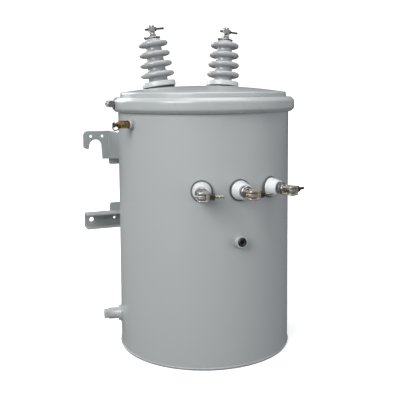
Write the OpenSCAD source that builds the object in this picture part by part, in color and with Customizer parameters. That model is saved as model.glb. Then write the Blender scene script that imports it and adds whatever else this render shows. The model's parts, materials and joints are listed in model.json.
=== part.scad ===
// Pole mounted distribution transformer: a round oil tank with a clamped cover,
// two high voltage bushings, three low voltage bushings, and hangers for a pole.
// The tank stands on z = 0 with its axis on Z. The low voltage side faces -Y
// and the pole side faces +Y.

/* [Tank] */
// Outer diameter of the tank
tank_d = 520; // [440:10:600]
// Height of the tank, from its underside to the top of its rim
tank_h = 737; // [620:10:860]
// Thickness of the tank's wall
wall_t = 3.5; // [2.5:0.5:5]
// Thickness of the bottom plate
bottom_t = 5; // [4:1:8]
// How far the rims of the tank and the cover stand out from the wall
rim_w = 4; // [3:1:6]
// Height of the cover's turned-up rim
rim_h = 12.5; // [10:0.5:15]
// Height of the tank's own rim
tank_rim_h = 22; // [14:0.5:26]

/* [Core and coil] */
// Diameter of the core and coil assembly
core_d = 330; // [260:10:380]
// Height of the core and coil assembly
core_h = 420; // [320:10:440]

/* [Cover] */
// Thickness of the cover's sheet
cover_t = 3; // [2:0.5:4]
// Height of the gasket between the tank's rim and the cover
cover_seal_h = 4; // [3:0.5:5]
// How far the step of the cover stands in from the tank's outer face
step_inset = 7; // [6:1:12]
// Height of the step above the cover band
step_h = 14; // [8:1:24]
// Rise of the dome from the step to the middle
dome_rise = 20; // [12:1:30]

/* [Cover band] */
// Thickness of the band's sheet
band_t = 2.5; // [2:0.5:3]
// Width of the band's sloping shoulder
shoulder_w = 10; // [8:1:14]
// Height of the band's sloping shoulder
shoulder_h = 10; // [5:0.5:12]
// Gap between the two ends of the band
band_gap = 34; // [24:1:44]
// Direction of the band's bolt, from the low voltage side
band_angle = -96; // [-110:1:-90]
// Diameter of the band's bolt
band_bolt_d = 12; // [8:1:13]
// Thickness of each lug of the band
lug_t = 8; // [6:1:10]

/* [High voltage bushings] */
// Distance of each bushing from the middle plane
hv_x = 108; // [96:1:120]
// Distance of both bushings behind the tank's axis
hv_y = 98; // [80:1:108]
// Outward lean of a bushing
hv_lean = 8.5; // [5:0.5:11]
// Number of sheds
hv_sheds = 4; // [2:1:5]
// Distance from shed to shed
shed_pitch = 32; // [30:1:38]
// Diameter of the lowest shed
shed_d = 105; // [96:1:112]
// How much smaller each shed is than the one below it
shed_step = 4.3; // [0:0.1:6]
// Thickness of a shed at its rim
shed_t = 15; // [12:1:17]
// Diameter of the porcelain core at its foot
hv_core_d = 60; // [54:1:66]
// Diameter of the porcelain core at its head
hv_head_d = 46; // [44:1:54]
// Diameter of the porcelain shank that goes through the cover
hv_shank_d = 44; // [36:1:50]
// Outer diameter of the clamp ring
hv_ring_d = 105; // [100:1:110]
// Height of the clamp ring
hv_ring_h = 16; // [12:1:20]
// Thickness of the gasket at its thin side
hv_seal_t = 1; // [1:0.5:4]
// Radius of the lead's hole in a high voltage terminal
hv_lead_r = 4.5; // [3:0.5:5.5]

/* [Low voltage bushings] */
// Angle between neighbouring bushings
lv_spread = 23.4; // [20:0.1:27]
// Height of the bushings above the bottom
lv_z = 503; // [460:1:560]
// Length of the porcelain outside its gasket
lv_len = 33; // [28:1:60]
// Diameter of the porcelain at its foot
lv_foot_d = 54; // [50:1:60]
// Diameter of the porcelain at its front
lv_front_d = 43; // [40:1:50]
// Diameter of the porcelain shank that goes through the wall
lv_shank_d = 40; // [34:1:44]
// Diameter of the gasket
lv_seal_d = 61; // [58:1:72]
// Thickness of the gasket
lv_seal_t = 3; // [3:1:8]
// Diameter of a terminal's collar
lv_collar_d = 34; // [30:1:38]
// Length of a terminal, from the porcelain's front to its nose
lv_body_len = 50; // [46:1:60]
// Radius of the lead's hole in a low voltage terminal
lv_lead_r = 6; // [4:0.5:7]

/* [Level plug] */
// Height of the level plug
level_z = 361; // [320:1:400]
// Diameter of the level plug's boss
level_boss_d = 35; // [32:1:44]
// How far the boss stands out from the wall
level_boss_len = 18; // [16:1:30]
// Diameter of the level plug
level_plug_d = 24; // [20:1:28]
// Width of the plug's hexagon socket
level_socket_w = 11; // [8:1:14]

/* [Relief valve] */
// Direction of the relief valve
relief_angle = -73; // [-80:1:-62]
// Height of the relief valve
relief_z = 681; // [640:1:690]
// Diameter of the valve's body
relief_d = 22; // [18:1:24]
// Length of the valve's body
relief_len = 32; // [28:1:40]
// Diameter of the pull ring
pull_ring_d = 22; // [18:1:26]

/* [Drain] */
// Direction of the drain
drain_angle = -102; // [-115:1:-95]
// Height of the drain
drain_z = 94; // [70:1:120]
// Diameter of the drain's pipe
drain_d = 33; // [28:1:38]
// Length of the drain's pipe
drain_len = 40; // [30:1:50]

/* [Pole hangers] */
// Distance from the tank to the hangers' back plane
hang_out = 52; // [44:1:64]
// Thickness of both pole plates
plate_t = 5; // [4:0.5:8]
// Height of the upper pole plate's lower edge
upper_z = 526; // [500:2:540]
// Height of the upper pole plate
upper_h = 80; // [60:2:100]
// How far the lower pole plate rises above the channel
plate_rise = 27; // [20:1:40]
// Where each bracket's leg stands, as a share of the tank's radius
leg_share = 0.858; // [0.8:0.002:0.9]
// Thickness of the hook brackets
hook_t = 6; // [5:0.5:8]
// Height of the hook brackets' lower edge
hook_z = 546; // [530:1:560]
// Height of the hook brackets
hook_h = 95.5; // [86:0.5:110]
// Length of a hook beyond its fold
hook_len = 86.5; // [80:0.5:100]
// Distance from a fold to the middle of its arch
arch_out = 46; // [42:0.5:50]
// Width of a hook's arch
arch_w = 42; // [30:1:44]
// Diameter of the small holes over the arch
hook_hole_d = 9.5; // [6:0.5:11]

/* [Lower channel] */
// Length of the channel
channel_len = 621; // [600:1:640]
// Height of the channel
channel_h = 50; // [40:1:54]
// Height of the channel's lower edge
channel_z = 316; // [280:2:340]
// Thickness of the channel
channel_t = 5; // [4:0.5:6]
// Diameter of the bolt holes near the channel's ends
channel_hole_d = 15; // [10:0.5:18]
// Distance between the bolt holes near the channel's ends
channel_hole_pitch = 575; // [560:1:584]
// Diameter of the two inner holes of the channel
inner_hole_d = 9; // [6:0.5:12]
// Distance between the two inner holes
inner_hole_pitch = 415; // [380:1:422]

/* [Hidden] */
$fn = 96;
// Clearance where a piece is welded or seated against a curved or flat face
seat = 0.2;
// Clearance around a shank, a stud or a bolt in its hole
fit = 0.3;
// Overshoot of a cut past the face that it opens
past = 1;
// Room under the end of a pin in its hole
pin_gap = 2;
// Sides of a round cut where a thin gasket or boss meets the tank
fine = 720;

tank_r = tank_d / 2;
inner_r = tank_r - wall_t;
rim_r = tank_r + rim_w;

// Cover
seal_top = tank_h + cover_seal_h;
cover_rim_top = seal_top + rim_h;
band_top = cover_rim_top + band_t;
band_low = tank_h - tank_rim_h - band_t;
step_r = tank_r - step_inset;
step_top = band_top + step_h;
dome_r = (step_r * step_r + dome_rise * dome_rise) / (2 * dome_rise);
dome_centre = step_top + dome_rise - dome_r;

// Cover band
band_play = 0.9;
band_r = rim_r + band_play + shoulder_w + band_t;
foot_bevel = 9;
band_low_play = 1.2;
band_low_r = tank_r + band_low_play;
band_top_play = 2;
band_top_r = step_r + band_top_play;
lug_h = 20;
lug_rim = 8;
band_bolt_r = band_r + 9.5;
band_bolt_w = 19;
band_head_t = 8;
band_nut_t = 10;
band_bolt_end = 12;
bolt_rise = 8;
band_mid = band_low + (band_top - shoulder_h - band_low) / 2 + bolt_rise;

// High voltage bushings
hv_angle = atan2(hv_y, hv_x);
hv_base_r = norm([hv_x, hv_y]);
hv_base_z = dome_centre + sqrt(dome_r * dome_r - hv_base_r * hv_base_r);
hv_skew = hv_lean - asin(hv_base_r / dome_r);
hv_foot_z = hv_seal_t + hv_ring_d / 2 * abs(sin(hv_skew));
hv_foot_d = 84;
hv_seal_d = 98;
hv_seal_play = 4;
hv_seal_bore = hv_shank_d + 2 * hv_seal_play;
hv_seal_sag = dome_r - sqrt(dome_r * dome_r - hv_seal_bore * hv_seal_bore / 4);
hv_foot_h = 8;
hv_first = 23;
hv_neck_h = 17;
hv_shank_len = 60;
hv_ring_top = hv_foot_z + hv_ring_h;
hv_neck_top = hv_ring_top + hv_first + (hv_sheds - 1) * shed_pitch + hv_neck_h;
hv_cap_d = 47;
hv_cap_h = 8;
hv_cap_screw_d = 7;
hv_cap_screw_len = 4;
hv_body_w = 20;
hv_body_d = 22;
hv_body_h = 36;
hv_stud_d = 7;
hv_pin_d = 12;
hv_pin_len = 24;
hv_lead_z = 10;
hv_bolt_z = 22;
hv_stud_back = 20;
hv_stud_front = 43;
hv_nut_w = 13;
hv_nut_t = 7;
shed_root = 4;

// Low voltage bushings
lv_foot = tank_r + lv_seal_t;
lv_front = lv_foot + lv_len;
lv_shank_len = 45;
lv_washer_d = 29;
lv_recess_d = 31;
lv_recess_t = 3;
lv_bore_d = 16;
lv_pin_d = 14;
lv_pin_len = 20;
lv_nut_w = 25;
lv_nut_t = 6;
lv_collar_t = 9;
lv_foot_edge = 2;
lv_body_h = 29;
lv_body_drop = 4;
lv_stud_drop = 3;
lv_body_low = 14;
lv_body_wide = 23;
lv_stud_d = 8;
lv_lead_at = 22;
lv_bolt_at = 37;
lv_edge = 4;
lv_nose = 8;
lv_stud_back = 17;
lv_stud_front = 61;
lv_side_nut_w = 17;
lv_side_nut_t = 13;

// Fittings on the wall
level_depth = 14;
level_proud = 2;
level_socket_depth = 9;
relief_boss_d = 27;
relief_boss_len = 12;
relief_thread_d = 15;
relief_thread_len = 10;
relief_bevel = 3;
relief_neck_d = 12;
relief_neck_len = 7;
relief_stem_d = 5;
relief_stem_len = 6;
relief_cap_d = 15;
relief_cap_t = 4;
pull_wire_d = 2.4;
drain_flange_d = 45;
drain_flange_t = 9;
drain_plug_w = 25;
drain_plug_len = 13;
drain_bore_d = 24;

// Pole hangers
hang_y = tank_r + hang_out;
plate_corner = 7;
plate_lap = 1;
channel_y = tank_r + fit;
arch_r = arch_w / 2;
arch_crown = 29;
arch_slant = 3;
arch_flare = 2;
tine_z = hook_z + 34;
tine_slope = 3;
tine_bevel = 5;
hook_corner = 14;
hook_hole_drop = 17.5;
hook_hole_spread = 19.6;
hook_hole_in = 4;
fold_r = 4;
fold_x = leg_share * tank_r;
arch_x = fold_x + arch_out;
plate_half = fold_x - hook_t + fold_r + plate_lap;
leg_rise = 28;

// ---- Helpers ----

// Points of a circular arc, both ends included
function arc(x, y, r, from, to, steps = 8) = [
    for (i = [0 : steps]) let (a = from + (to - from) * i / steps) [x + r * cos(a), y + r * sin(a)]
];

// A hexagonal bar of a given width across its flats
module hex_bar(width, length) {
    cylinder(d = width / cos(30), h = length, $fn = 6);
}

// A round ring
module ring(outer_d, inner_d, height) {
    difference() {
        cylinder(d = outer_d, h = height);
        translate([0, 0, -past]) cylinder(d = inner_d, h = height + 2 * past);
    }
}

// Places a fitting on the wall: its z is the distance from the tank's axis, y is up
module on_wall(angle, height) {
    rotate([0, 0, angle]) translate([0, 0, height]) rotate([90, 0, 0]) children();
}

// The space that the tank takes, in the frame that on_wall gives
module tank_space() {
    rotate([90, 0, 0]) cylinder(r = tank_r + seat, h = 2 * lv_seal_d, center = true, $fn = fine);
}

// Places a bushing on the cover: z follows its axis, up from the dome's surface
module on_cover(side) {
    turn = side > 0 ? hv_angle : 180 - hv_angle;
    translate([side * hv_x, hv_y, hv_base_z])
        rotate([0, 0, turn]) rotate([0, hv_lean, 0]) rotate([0, 0, -turn]) children();
}

// A threaded stud along +X with one nut, the nut's near face at nut_at
module stud_and_nut(d, back, front, nut_at, nut_w, nut_t) {
    translate([-back, 0, 0]) rotate([0, 90, 0]) cylinder(d = d, h = back + front);
    translate([nut_at, 0, 0]) rotate([0, 90, 0]) hex_bar(nut_w, nut_t);
}

// ---- Tank ----

// Rolled wall with a rim around its top
module tank_shell() {
    color("#AEB2B4") difference() {
        rotate_extrude() polygon([
            [inner_r, bottom_t], [tank_r, bottom_t], [tank_r, tank_h - tank_rim_h],
            [rim_r, tank_h - tank_rim_h], [rim_r, tank_h], [inner_r, tank_h]
        ]);
        for (place = [-1 : 1]) on_wall(place * lv_spread, lv_z)
            cylinder(d = lv_shank_d + 2 * fit, h = 2 * tank_r);
    }
}

module tank_bottom() {
    color("#8F9394") cylinder(r = tank_r, h = bottom_t);
}

// Stands on the bottom plate, sealed in under the oil
module core_and_coil() {
    color("#6B6F72") translate([0, 0, bottom_t]) cylinder(d = core_d, h = core_h);
}

// ---- Cover ----

// The space under a dome of a given radius, from a given height up
module under_dome(radius, ball_r, low) {
    intersection() {
        translate([0, 0, dome_centre]) sphere(r = ball_r, $fn = 360);
        translate([0, 0, low]) cylinder(r = radius, h = step_top + dome_rise - low + past);
    }
}

// Domed sheet with a step, and a rim turned up inside the band
module cover() {
    color("#B9BDBF") difference() {
        union() {
            under_dome(step_r, dome_r, seal_top);
            translate([0, 0, seal_top]) cylinder(r = rim_r, h = cover_t);
            translate([0, 0, seal_top]) ring(2 * rim_r, 2 * (rim_r - cover_t), rim_h);
        }
        under_dome(step_r - cover_t, dome_r - cover_t, seal_top - past);
        for (side = [-1, 1]) on_cover(side)
            translate([0, 0, -hv_shank_len / 2]) cylinder(d = hv_shank_d + 2 * fit, h = hv_shank_len);
    }
}

// Section of the band: its outside with no inset, its inside with the sheet's thickness
module band_profile(inset, reach) {
    low = band_low + inset;
    top = band_top - inset;
    face = band_r - inset;
    polygon([
        [band_low_r - reach, low], [face - foot_bevel, low], [face, low + foot_bevel],
        [face, top - shoulder_h], [face - shoulder_w, top], [band_top_r - reach, top]
    ]);
}

// Formed band that clamps the two rims together, with a lug at each end
module cover_band() {
    color("#A9ADAF") difference() {
        union() {
            rotate_extrude() difference() {
                band_profile(0, 0);
                band_profile(band_t, rim_h);
            }
            on_wall(band_angle, band_mid) for (side = [-1, 1])
                translate([side * (band_gap + lug_t) / 2, 0, (band_r + band_bolt_r + lug_rim) / 2 - band_t / 2])
                    cube([lug_t, lug_h, band_bolt_r + lug_rim - band_r + band_t], center = true);
        }
        on_wall(band_angle, band_mid) {
            translate([-band_gap / 2, -2 * tank_rim_h, 0]) cube([band_gap, 4 * tank_rim_h, 2 * band_r]);
            translate([0, 0, band_bolt_r]) rotate([0, 90, 0])
                cylinder(d = band_bolt_d + 2 * fit, h = band_gap + 4 * lug_t, center = true);
        }
    }
}

// Bolt through both lugs, with its nut
module band_bolt() {
    grip = band_gap / 2 + lug_t + seat;
    color("#8A8C88") on_wall(band_angle, band_mid) translate([0, 0, band_bolt_r]) {
        translate([-grip - band_nut_t - band_bolt_end, 0, 0]) rotate([0, 90, 0])
            cylinder(d = band_bolt_d, h = 2 * grip + band_nut_t + band_bolt_end + band_head_t / 2);
        translate([grip, 0, 0]) rotate([0, 90, 0]) rotate([0, 0, 30]) hex_bar(band_bolt_w, band_head_t);
        translate([-grip - band_nut_t, 0, 0]) rotate([0, 90, 0]) rotate([0, 0, 30]) hex_bar(band_bolt_w, band_nut_t);
    }
}

// ---- High voltage bushings ----

// Wedge-shaped rubber ring between the dome and a bushing
module hv_gasket(side) {
    turn = side > 0 ? hv_angle : 180 - hv_angle;
    color("#3A3C3D") on_cover(side) difference() {
        translate([0, 0, -hv_seal_d / 2]) ring(hv_seal_d, hv_seal_bore, hv_seal_d / 2 + hv_foot_z);
        rotate([0, 0, turn]) rotate([0, -hv_skew, 0]) translate([0, 0, -hv_seal_d - hv_seal_sag + seat / 2])
            cube(2 * hv_seal_d, center = true);
    }
}

// Height of a shed's middle, counted from the lowest
function shed_z(i) = hv_ring_top + hv_first + i * shed_pitch;

// Radius of the porcelain core at a height
function core_r(z) = (hv_core_d + (hv_head_d - hv_core_d) * (z - hv_ring_top) / (hv_neck_top - hv_ring_top)) / 2;

// Outline of one shed from its underside up: a round rim on a sloping disc
function shed_points(i) =
    let (z = shed_z(i), r = (shed_d - i * shed_step) / 2, b = shed_t / 2)
    concat(
        [[core_r(z - b - shed_root), z - b - shed_root]],
        arc(r - b, z, b, -82, 72, 12),
        [[core_r(z + b + shed_root), z + b + shed_root]]
    );

// Porcelain with its foot, sheds and the shank that goes through the cover
module hv_bushing(side) {
    color("#9FA9B3") on_cover(side) difference() {
        rotate_extrude() polygon(concat(
            [
                [0, -hv_shank_len], [hv_shank_d / 2, -hv_shank_len], [hv_shank_d / 2, hv_foot_z],
                [hv_foot_d / 2, hv_foot_z], [hv_foot_d / 2, hv_foot_z + hv_foot_h],
                [hv_core_d / 2, hv_foot_z + hv_foot_h], [hv_core_d / 2, hv_ring_top]
            ],
            [for (i = [0 : hv_sheds - 1]) each shed_points(i)],
            [[hv_head_d / 2, hv_neck_top], [0, hv_neck_top]]
        ));
        translate([0, 0, hv_neck_top - hv_pin_len]) cylinder(d = hv_pin_d + 2 * fit, h = hv_pin_len + past);
    }
}

// Ring that holds the porcelain's foot down on the cover
module hv_clamp_ring(side) {
    color("#AEB4B8") on_cover(side) translate([0, 0, hv_foot_z]) difference() {
        ring(hv_ring_d, hv_core_d + 2 * fit, hv_ring_h);
        translate([0, 0, -past]) cylinder(d = hv_foot_d + 2 * fit, h = hv_foot_h + fit + past);
    }
}

// Metal cap on the porcelain's head, with a screw on either side
module hv_cap(side) {
    color("#A7A9A6") on_cover(side) translate([0, 0, hv_neck_top]) difference() {
        union() {
            cylinder(d = hv_cap_d, h = hv_cap_h);
            translate([0, 0, hv_cap_h / 2]) rotate([0, 90, 0])
                cylinder(d = hv_cap_screw_d, h = hv_cap_d + 2 * hv_cap_screw_len, center = true);
        }
        translate([0, 0, -past]) cylinder(d = hv_pin_d + 2 * fit, h = hv_cap_h + 2 * past);
    }
}

// Clamp body with a hole for the line lead, on a pin in the porcelain
module hv_terminal(side) {
    w = hv_body_w / 2;
    color("#9C9A94") on_cover(side) translate([0, 0, hv_neck_top + hv_cap_h]) difference() {
        union() {
            rotate([90, 0, 0]) linear_extrude(height = hv_body_d, center = true)
                polygon(concat([[-w, 0], [w, 0]], arc(0, hv_body_h - w, w, 20, 160, 14)));
            translate([0, 0, pin_gap - hv_cap_h - hv_pin_len]) cylinder(d = hv_pin_d, h = hv_cap_h + hv_pin_len);
        }
        translate([0, 0, hv_lead_z]) rotate([90, 0, 0]) cylinder(r = hv_lead_r, h = 2 * hv_body_d, center = true);
        translate([0, 0, hv_bolt_z]) rotate([0, 90, 0])
            cylinder(d = hv_stud_d + 2 * fit, h = 2 * hv_body_w, center = true);
    }
}

module hv_stud(side) {
    color("#77736A") on_cover(side) translate([0, 0, hv_neck_top + hv_cap_h + hv_bolt_z])
        stud_and_nut(hv_stud_d, hv_stud_back, hv_stud_front, hv_body_w / 2 + seat, hv_nut_w, hv_nut_t);
}

// ---- Low voltage bushings ----

// Rubber ring between the wall and a bushing
module lv_gasket(place) {
    color("#2F3133") on_wall(place * lv_spread, lv_z) difference() {
        translate([0, 0, inner_r]) ring(lv_seal_d, lv_shank_d + 2 * fit, lv_foot - inner_r);
        tank_space();
    }
}

// White porcelain with a round front edge and a shank through the wall
module lv_bushing(place) {
    foot = lv_foot_d / 2;
    front = lv_front_d / 2;
    color("#E6E7E8") on_wall(place * lv_spread, lv_z) translate([0, 0, lv_foot]) difference() {
        rotate_extrude() polygon(concat(
            [
                [0, -lv_seal_t - lv_shank_len], [lv_shank_d / 2, -lv_seal_t - lv_shank_len],
                [lv_shank_d / 2, 0], [foot - lv_foot_edge, 0], [foot, lv_foot_edge]
            ],
            arc(front - lv_edge, lv_len - lv_edge, lv_edge, 0, 90),
            [[0, lv_len]]
        ));
        translate([0, 0, lv_len - lv_recess_t]) cylinder(d = lv_recess_d, h = lv_recess_t + past);
        translate([0, 0, lv_len - lv_recess_t - lv_pin_len]) cylinder(d = lv_bore_d, h = lv_pin_len + past);
    }
}

// Washer and hexagon nut that hold the terminal to the porcelain
module lv_nut(place) {
    color("#B4B4B0") on_wall(place * lv_spread, lv_z) translate([0, 0, lv_front - lv_recess_t]) difference() {
        union() {
            cylinder(d = lv_washer_d, h = lv_recess_t);
            translate([0, 0, lv_recess_t]) hex_bar(lv_nut_w, lv_nut_t);
        }
        translate([0, 0, -past]) cylinder(d = lv_pin_d + 2 * fit, h = lv_recess_t + lv_nut_t + 2 * past);
    }
}

// Clamp body on a collar and a pin, with an upright hole for the service lead
module lv_terminal(place) {
    color(place == 0 ? "#A0765C" : "#8E8B7C") on_wall(place * lv_spread, lv_z) translate([0, 0, lv_front])
        difference() {
            union() {
                translate([0, -lv_body_drop, 0]) rotate([90, 0, 0])
                    linear_extrude(height = lv_body_h, center = true) polygon(concat(
                    [[-lv_body_low, lv_nut_t], [lv_body_wide, lv_nut_t]],
                    arc(lv_body_wide - lv_nose, lv_body_len - lv_nose, lv_nose, 0, 90),
                    arc(-lv_body_low + lv_nose, lv_body_len - lv_nose, lv_nose, 90, 180)
                ));
                translate([0, 0, lv_nut_t]) cylinder(d = lv_collar_d, h = lv_collar_t);
                translate([0, 0, pin_gap - lv_recess_t - lv_pin_len])
                    cylinder(d = lv_pin_d, h = lv_pin_len + lv_recess_t + lv_nut_t);
            }
            translate([0, 0, lv_lead_at]) rotate([90, 0, 0])
                cylinder(r = lv_lead_r, h = 2 * lv_collar_d, center = true);
            translate([0, -lv_stud_drop, lv_bolt_at]) rotate([0, 90, 0])
                cylinder(d = lv_stud_d + 2 * fit, h = 4 * lv_body_wide, center = true);
        }
}

module lv_stud(place) {
    color("#7C7666") on_wall(place * lv_spread, lv_z) translate([0, -lv_stud_drop, lv_front + lv_bolt_at])
        stud_and_nut(lv_stud_d, lv_stud_back, lv_stud_front, lv_body_wide + seat, lv_side_nut_w, lv_side_nut_t);
}

// ---- Fittings on the wall ----

// Boss of the oil level plug
module level_boss() {
    color("#A2A6A8") on_wall(0, level_z) difference() {
        translate([0, 0, inner_r]) cylinder(d = level_boss_d, h = wall_t + level_boss_len);
        tank_space();
        translate([0, 0, tank_r + level_boss_len - level_depth])
            cylinder(d = level_plug_d + 2 * fit, h = level_depth + past);
    }
}

module level_plug() {
    color("#1E1F20") on_wall(0, level_z) translate([0, 0, tank_r + level_boss_len - level_depth + seat])
        difference() {
            cylinder(d = level_plug_d, h = level_depth + level_proud);
            translate([0, 0, level_depth + level_proud - level_socket_depth])
                hex_bar(level_socket_w, level_socket_depth + past);
        }
}

// Painted half coupling that carries the relief valve
module relief_boss() {
    color("#A2A6A8") on_wall(relief_angle, relief_z) difference() {
        translate([0, 0, inner_r]) ring(relief_boss_d, relief_thread_d + 2 * fit, wall_t + relief_boss_len);
        tank_space();
    }
}

// Brass valve with a black knob on its stem
module relief_valve() {
    out = tank_r + relief_boss_len;
    shoulder = out + relief_len;
    neck = shoulder + relief_neck_len;
    color("#9A7B48") on_wall(relief_angle, relief_z) rotate_extrude() polygon([
        [0, out - relief_thread_len], [relief_thread_d / 2, out - relief_thread_len],
        [relief_thread_d / 2, out + seat], [relief_d / 2, out + seat],
        [relief_d / 2, shoulder], [relief_d / 2 - relief_bevel, shoulder + relief_bevel],
        [relief_neck_d / 2, neck], [relief_stem_d / 2, neck], [relief_stem_d / 2, neck + relief_stem_len],
        [relief_cap_d / 2, neck + relief_stem_len],
        [relief_cap_d / 2, neck + relief_stem_len + relief_cap_t], [0, neck + relief_stem_len + relief_cap_t]
    ]);
}

// Wire ring that hangs from the valve's stem
module relief_pull_ring() {
    wire = pull_wire_d / 2;
    color("#3B3833") on_wall(relief_angle, relief_z)
        translate([0, relief_stem_d / 2 + seat + wire - pull_ring_d / 2, tank_r + relief_boss_len + relief_len
            + relief_neck_len + relief_stem_len / 2])
            rotate_extrude() translate([pull_ring_d / 2, 0]) circle(r = wire, $fn = 24);
}

// Welded drain pipe with a collar against the wall
module drain_pipe() {
    color("#A2A6A8") on_wall(drain_angle, drain_z) difference() {
        translate([0, 0, inner_r]) union() {
            cylinder(d = drain_flange_d, h = wall_t + drain_flange_t);
            cylinder(d = drain_d, h = wall_t + drain_len);
        }
        tank_space();
        translate([0, 0, tank_r + drain_len - drain_plug_len])
            cylinder(d = drain_bore_d + 2 * fit, h = drain_plug_len + past);
    }
}

module drain_plug() {
    color("#9DA1A2") on_wall(drain_angle, drain_z) translate([0, 0, tank_r + drain_len - drain_plug_len + seat])
        union() {
            cylinder(d = drain_bore_d, h = drain_plug_len);
            translate([0, 0, drain_plug_len]) hex_bar(drain_plug_w, drain_plug_len);
        }
}

// ---- Pole hangers ----

// A flat plate behind the hangers, its corners rounded on one side: up or down
module pole_plate(low, height, round_top) {
    x = plate_half - plate_corner;
    z = round_top ? height - plate_corner : plate_corner;
    turn = round_top ? 0 : 180;
    flat = round_top ? 0 : height;
    translate([0, hang_y + plate_t, low]) rotate([90, 0, 0]) linear_extrude(height = plate_t - seat) polygon(concat(
        [[round_top ? plate_half : -plate_half, flat]],
        arc(round_top ? x : -x, z, plate_corner, turn, turn + 90),
        arc(round_top ? -x : x, z, plate_corner, turn + 90, turn + 180),
        [[round_top ? -plate_half : plate_half, flat]]
    ));
}

// Joins the two hook brackets behind their folds
module upper_plate() {
    color("#8E9294") pole_plate(upper_z, upper_h, false);
}

// Stands behind the channel and rises above it
module lower_plate() {
    color("#8E9294") difference() {
        pole_plate(channel_z, channel_h + plate_rise, true);
        channel_holes(inner_hole_pitch, inner_hole_d);
    }
}

// Front outline of the right hook bracket: a plate with an arch open downwards
module hook_outline() {
    top = hook_z + hook_h;
    x = fold_x + hook_len;
    mid = arch_x;
    spring = top - arch_crown - arch_r;
    polygon(concat(
        [[0, top], [0, hook_z], [mid - arch_r - arch_slant, hook_z], [mid - arch_r, spring]],
        arc(mid, spring, arch_r, 180, 0, 24),
        [[mid + arch_r + arch_flare, tine_z], [x - tine_bevel, tine_z + tine_slope]],
        [[x, tine_z + tine_slope + tine_bevel]],
        arc(x - hook_corner, top - hook_corner, hook_corner, 0, 90)
    ));
}

// A bent plate: one leg runs to the tank, the other is the hook
module hook_bracket(side) {
    x = fold_x - hook_t;
    y = hang_y;
    hole_x = arch_x - hook_hole_in;
    color("#A2A6A8") mirror([side < 0 ? 1 : 0, 0, 0]) difference() {
        intersection() {
            translate([0, 0, hook_z]) linear_extrude(height = hook_h) polygon(concat(
                [[x, 0]],
                arc(x + fold_r, y - fold_r, fold_r, 180, 90),
                [[fold_x + hook_len, y], [fold_x + hook_len, y - hook_t], [fold_x, y - hook_t], [fold_x, 0]]
            ));
            translate([0, 2 * hang_y, 0]) rotate([90, 0, 0]) linear_extrude(height = 2 * hang_y) hook_outline();
        }
        cylinder(r = tank_r + seat, h = 2 * tank_h, $fn = fine);
        translate([x - past, 0, 0]) rotate([90, 0, 90]) linear_extrude(height = hook_t + 2 * past) polygon([
            [0, hook_z - past], [y - hook_t, hook_z - past], [y - hook_t, hook_z], [0, hook_z + leg_rise]
        ]);
        for (way = [-1, 1])
            translate([hole_x + way * hook_hole_spread, hang_y + past, hook_z + hook_h - hook_hole_drop])
                rotate([90, 0, 0]) cylinder(d = hook_hole_d, h = hook_t + 2 * past);
    }
}

// A pair of holes along Y through the channel's web and the plate behind it
module channel_holes(pitch, hole_d) {
    for (side = [-1, 1])
        translate([side * pitch / 2, hang_y + plate_t + past, channel_z + channel_h / 2])
            rotate([90, 0, 0]) cylinder(d = hole_d, h = channel_t + plate_t + 2 * past);
}

// Channel with its open side towards the tank, and bolt holes in its web
module lower_channel() {
    color("#7D8383") difference() {
        translate([-channel_len / 2, channel_y, channel_z]) cube([channel_len, hang_y - channel_y, channel_h]);
        translate([-channel_len / 2 - past, channel_y - past, channel_z + channel_t])
            cube([channel_len + 2 * past, hang_y - channel_y - channel_t + past, channel_h - 2 * channel_t]);
        channel_holes(channel_hole_pitch, channel_hole_d);
        channel_holes(inner_hole_pitch, inner_hole_d);
    }
}

// ---- Assembly ----

tank_shell();
tank_bottom();
core_and_coil();
cover();
cover_band();
band_bolt();
hv_gasket(-1);  // hv_gasket_left
hv_gasket(1);  // hv_gasket_right
hv_bushing(-1);  // hv_bushing_left
hv_bushing(1);  // hv_bushing_right
hv_clamp_ring(-1);  // hv_clamp_ring_left
hv_clamp_ring(1);  // hv_clamp_ring_right
hv_cap(-1);  // hv_cap_left
hv_cap(1);  // hv_cap_right
hv_terminal(-1);  // hv_terminal_left
hv_terminal(1);  // hv_terminal_right
hv_stud(-1);  // hv_stud_left
hv_stud(1);  // hv_stud_right
lv_gasket(-1);  // lv_gasket_left
lv_gasket(0);  // lv_gasket_middle
lv_gasket(1);  // lv_gasket_right
lv_bushing(-1);  // lv_bushing_left
lv_bushing(0);  // lv_bushing_middle
lv_bushing(1);  // lv_bushing_right
lv_nut(-1);  // lv_nut_left
lv_nut(0);  // lv_nut_middle
lv_nut(1);  // lv_nut_right
lv_terminal(-1);  // lv_terminal_left
lv_terminal(0);  // lv_terminal_middle
lv_terminal(1);  // lv_terminal_right
lv_stud(-1);  // lv_stud_left
lv_stud(0);  // lv_stud_middle
lv_stud(1);  // lv_stud_right
level_boss();
level_plug();
relief_boss();
relief_valve();
relief_pull_ring();
drain_pipe();
drain_plug();
upper_plate();
hook_bracket(-1);  // hook_bracket_left
hook_bracket(1);  // hook_bracket_right
lower_plate();
lower_channel();
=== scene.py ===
import json
import math
import random
import bpy
import bmesh
from mathutils import Matrix, Vector, Quaternion


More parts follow.
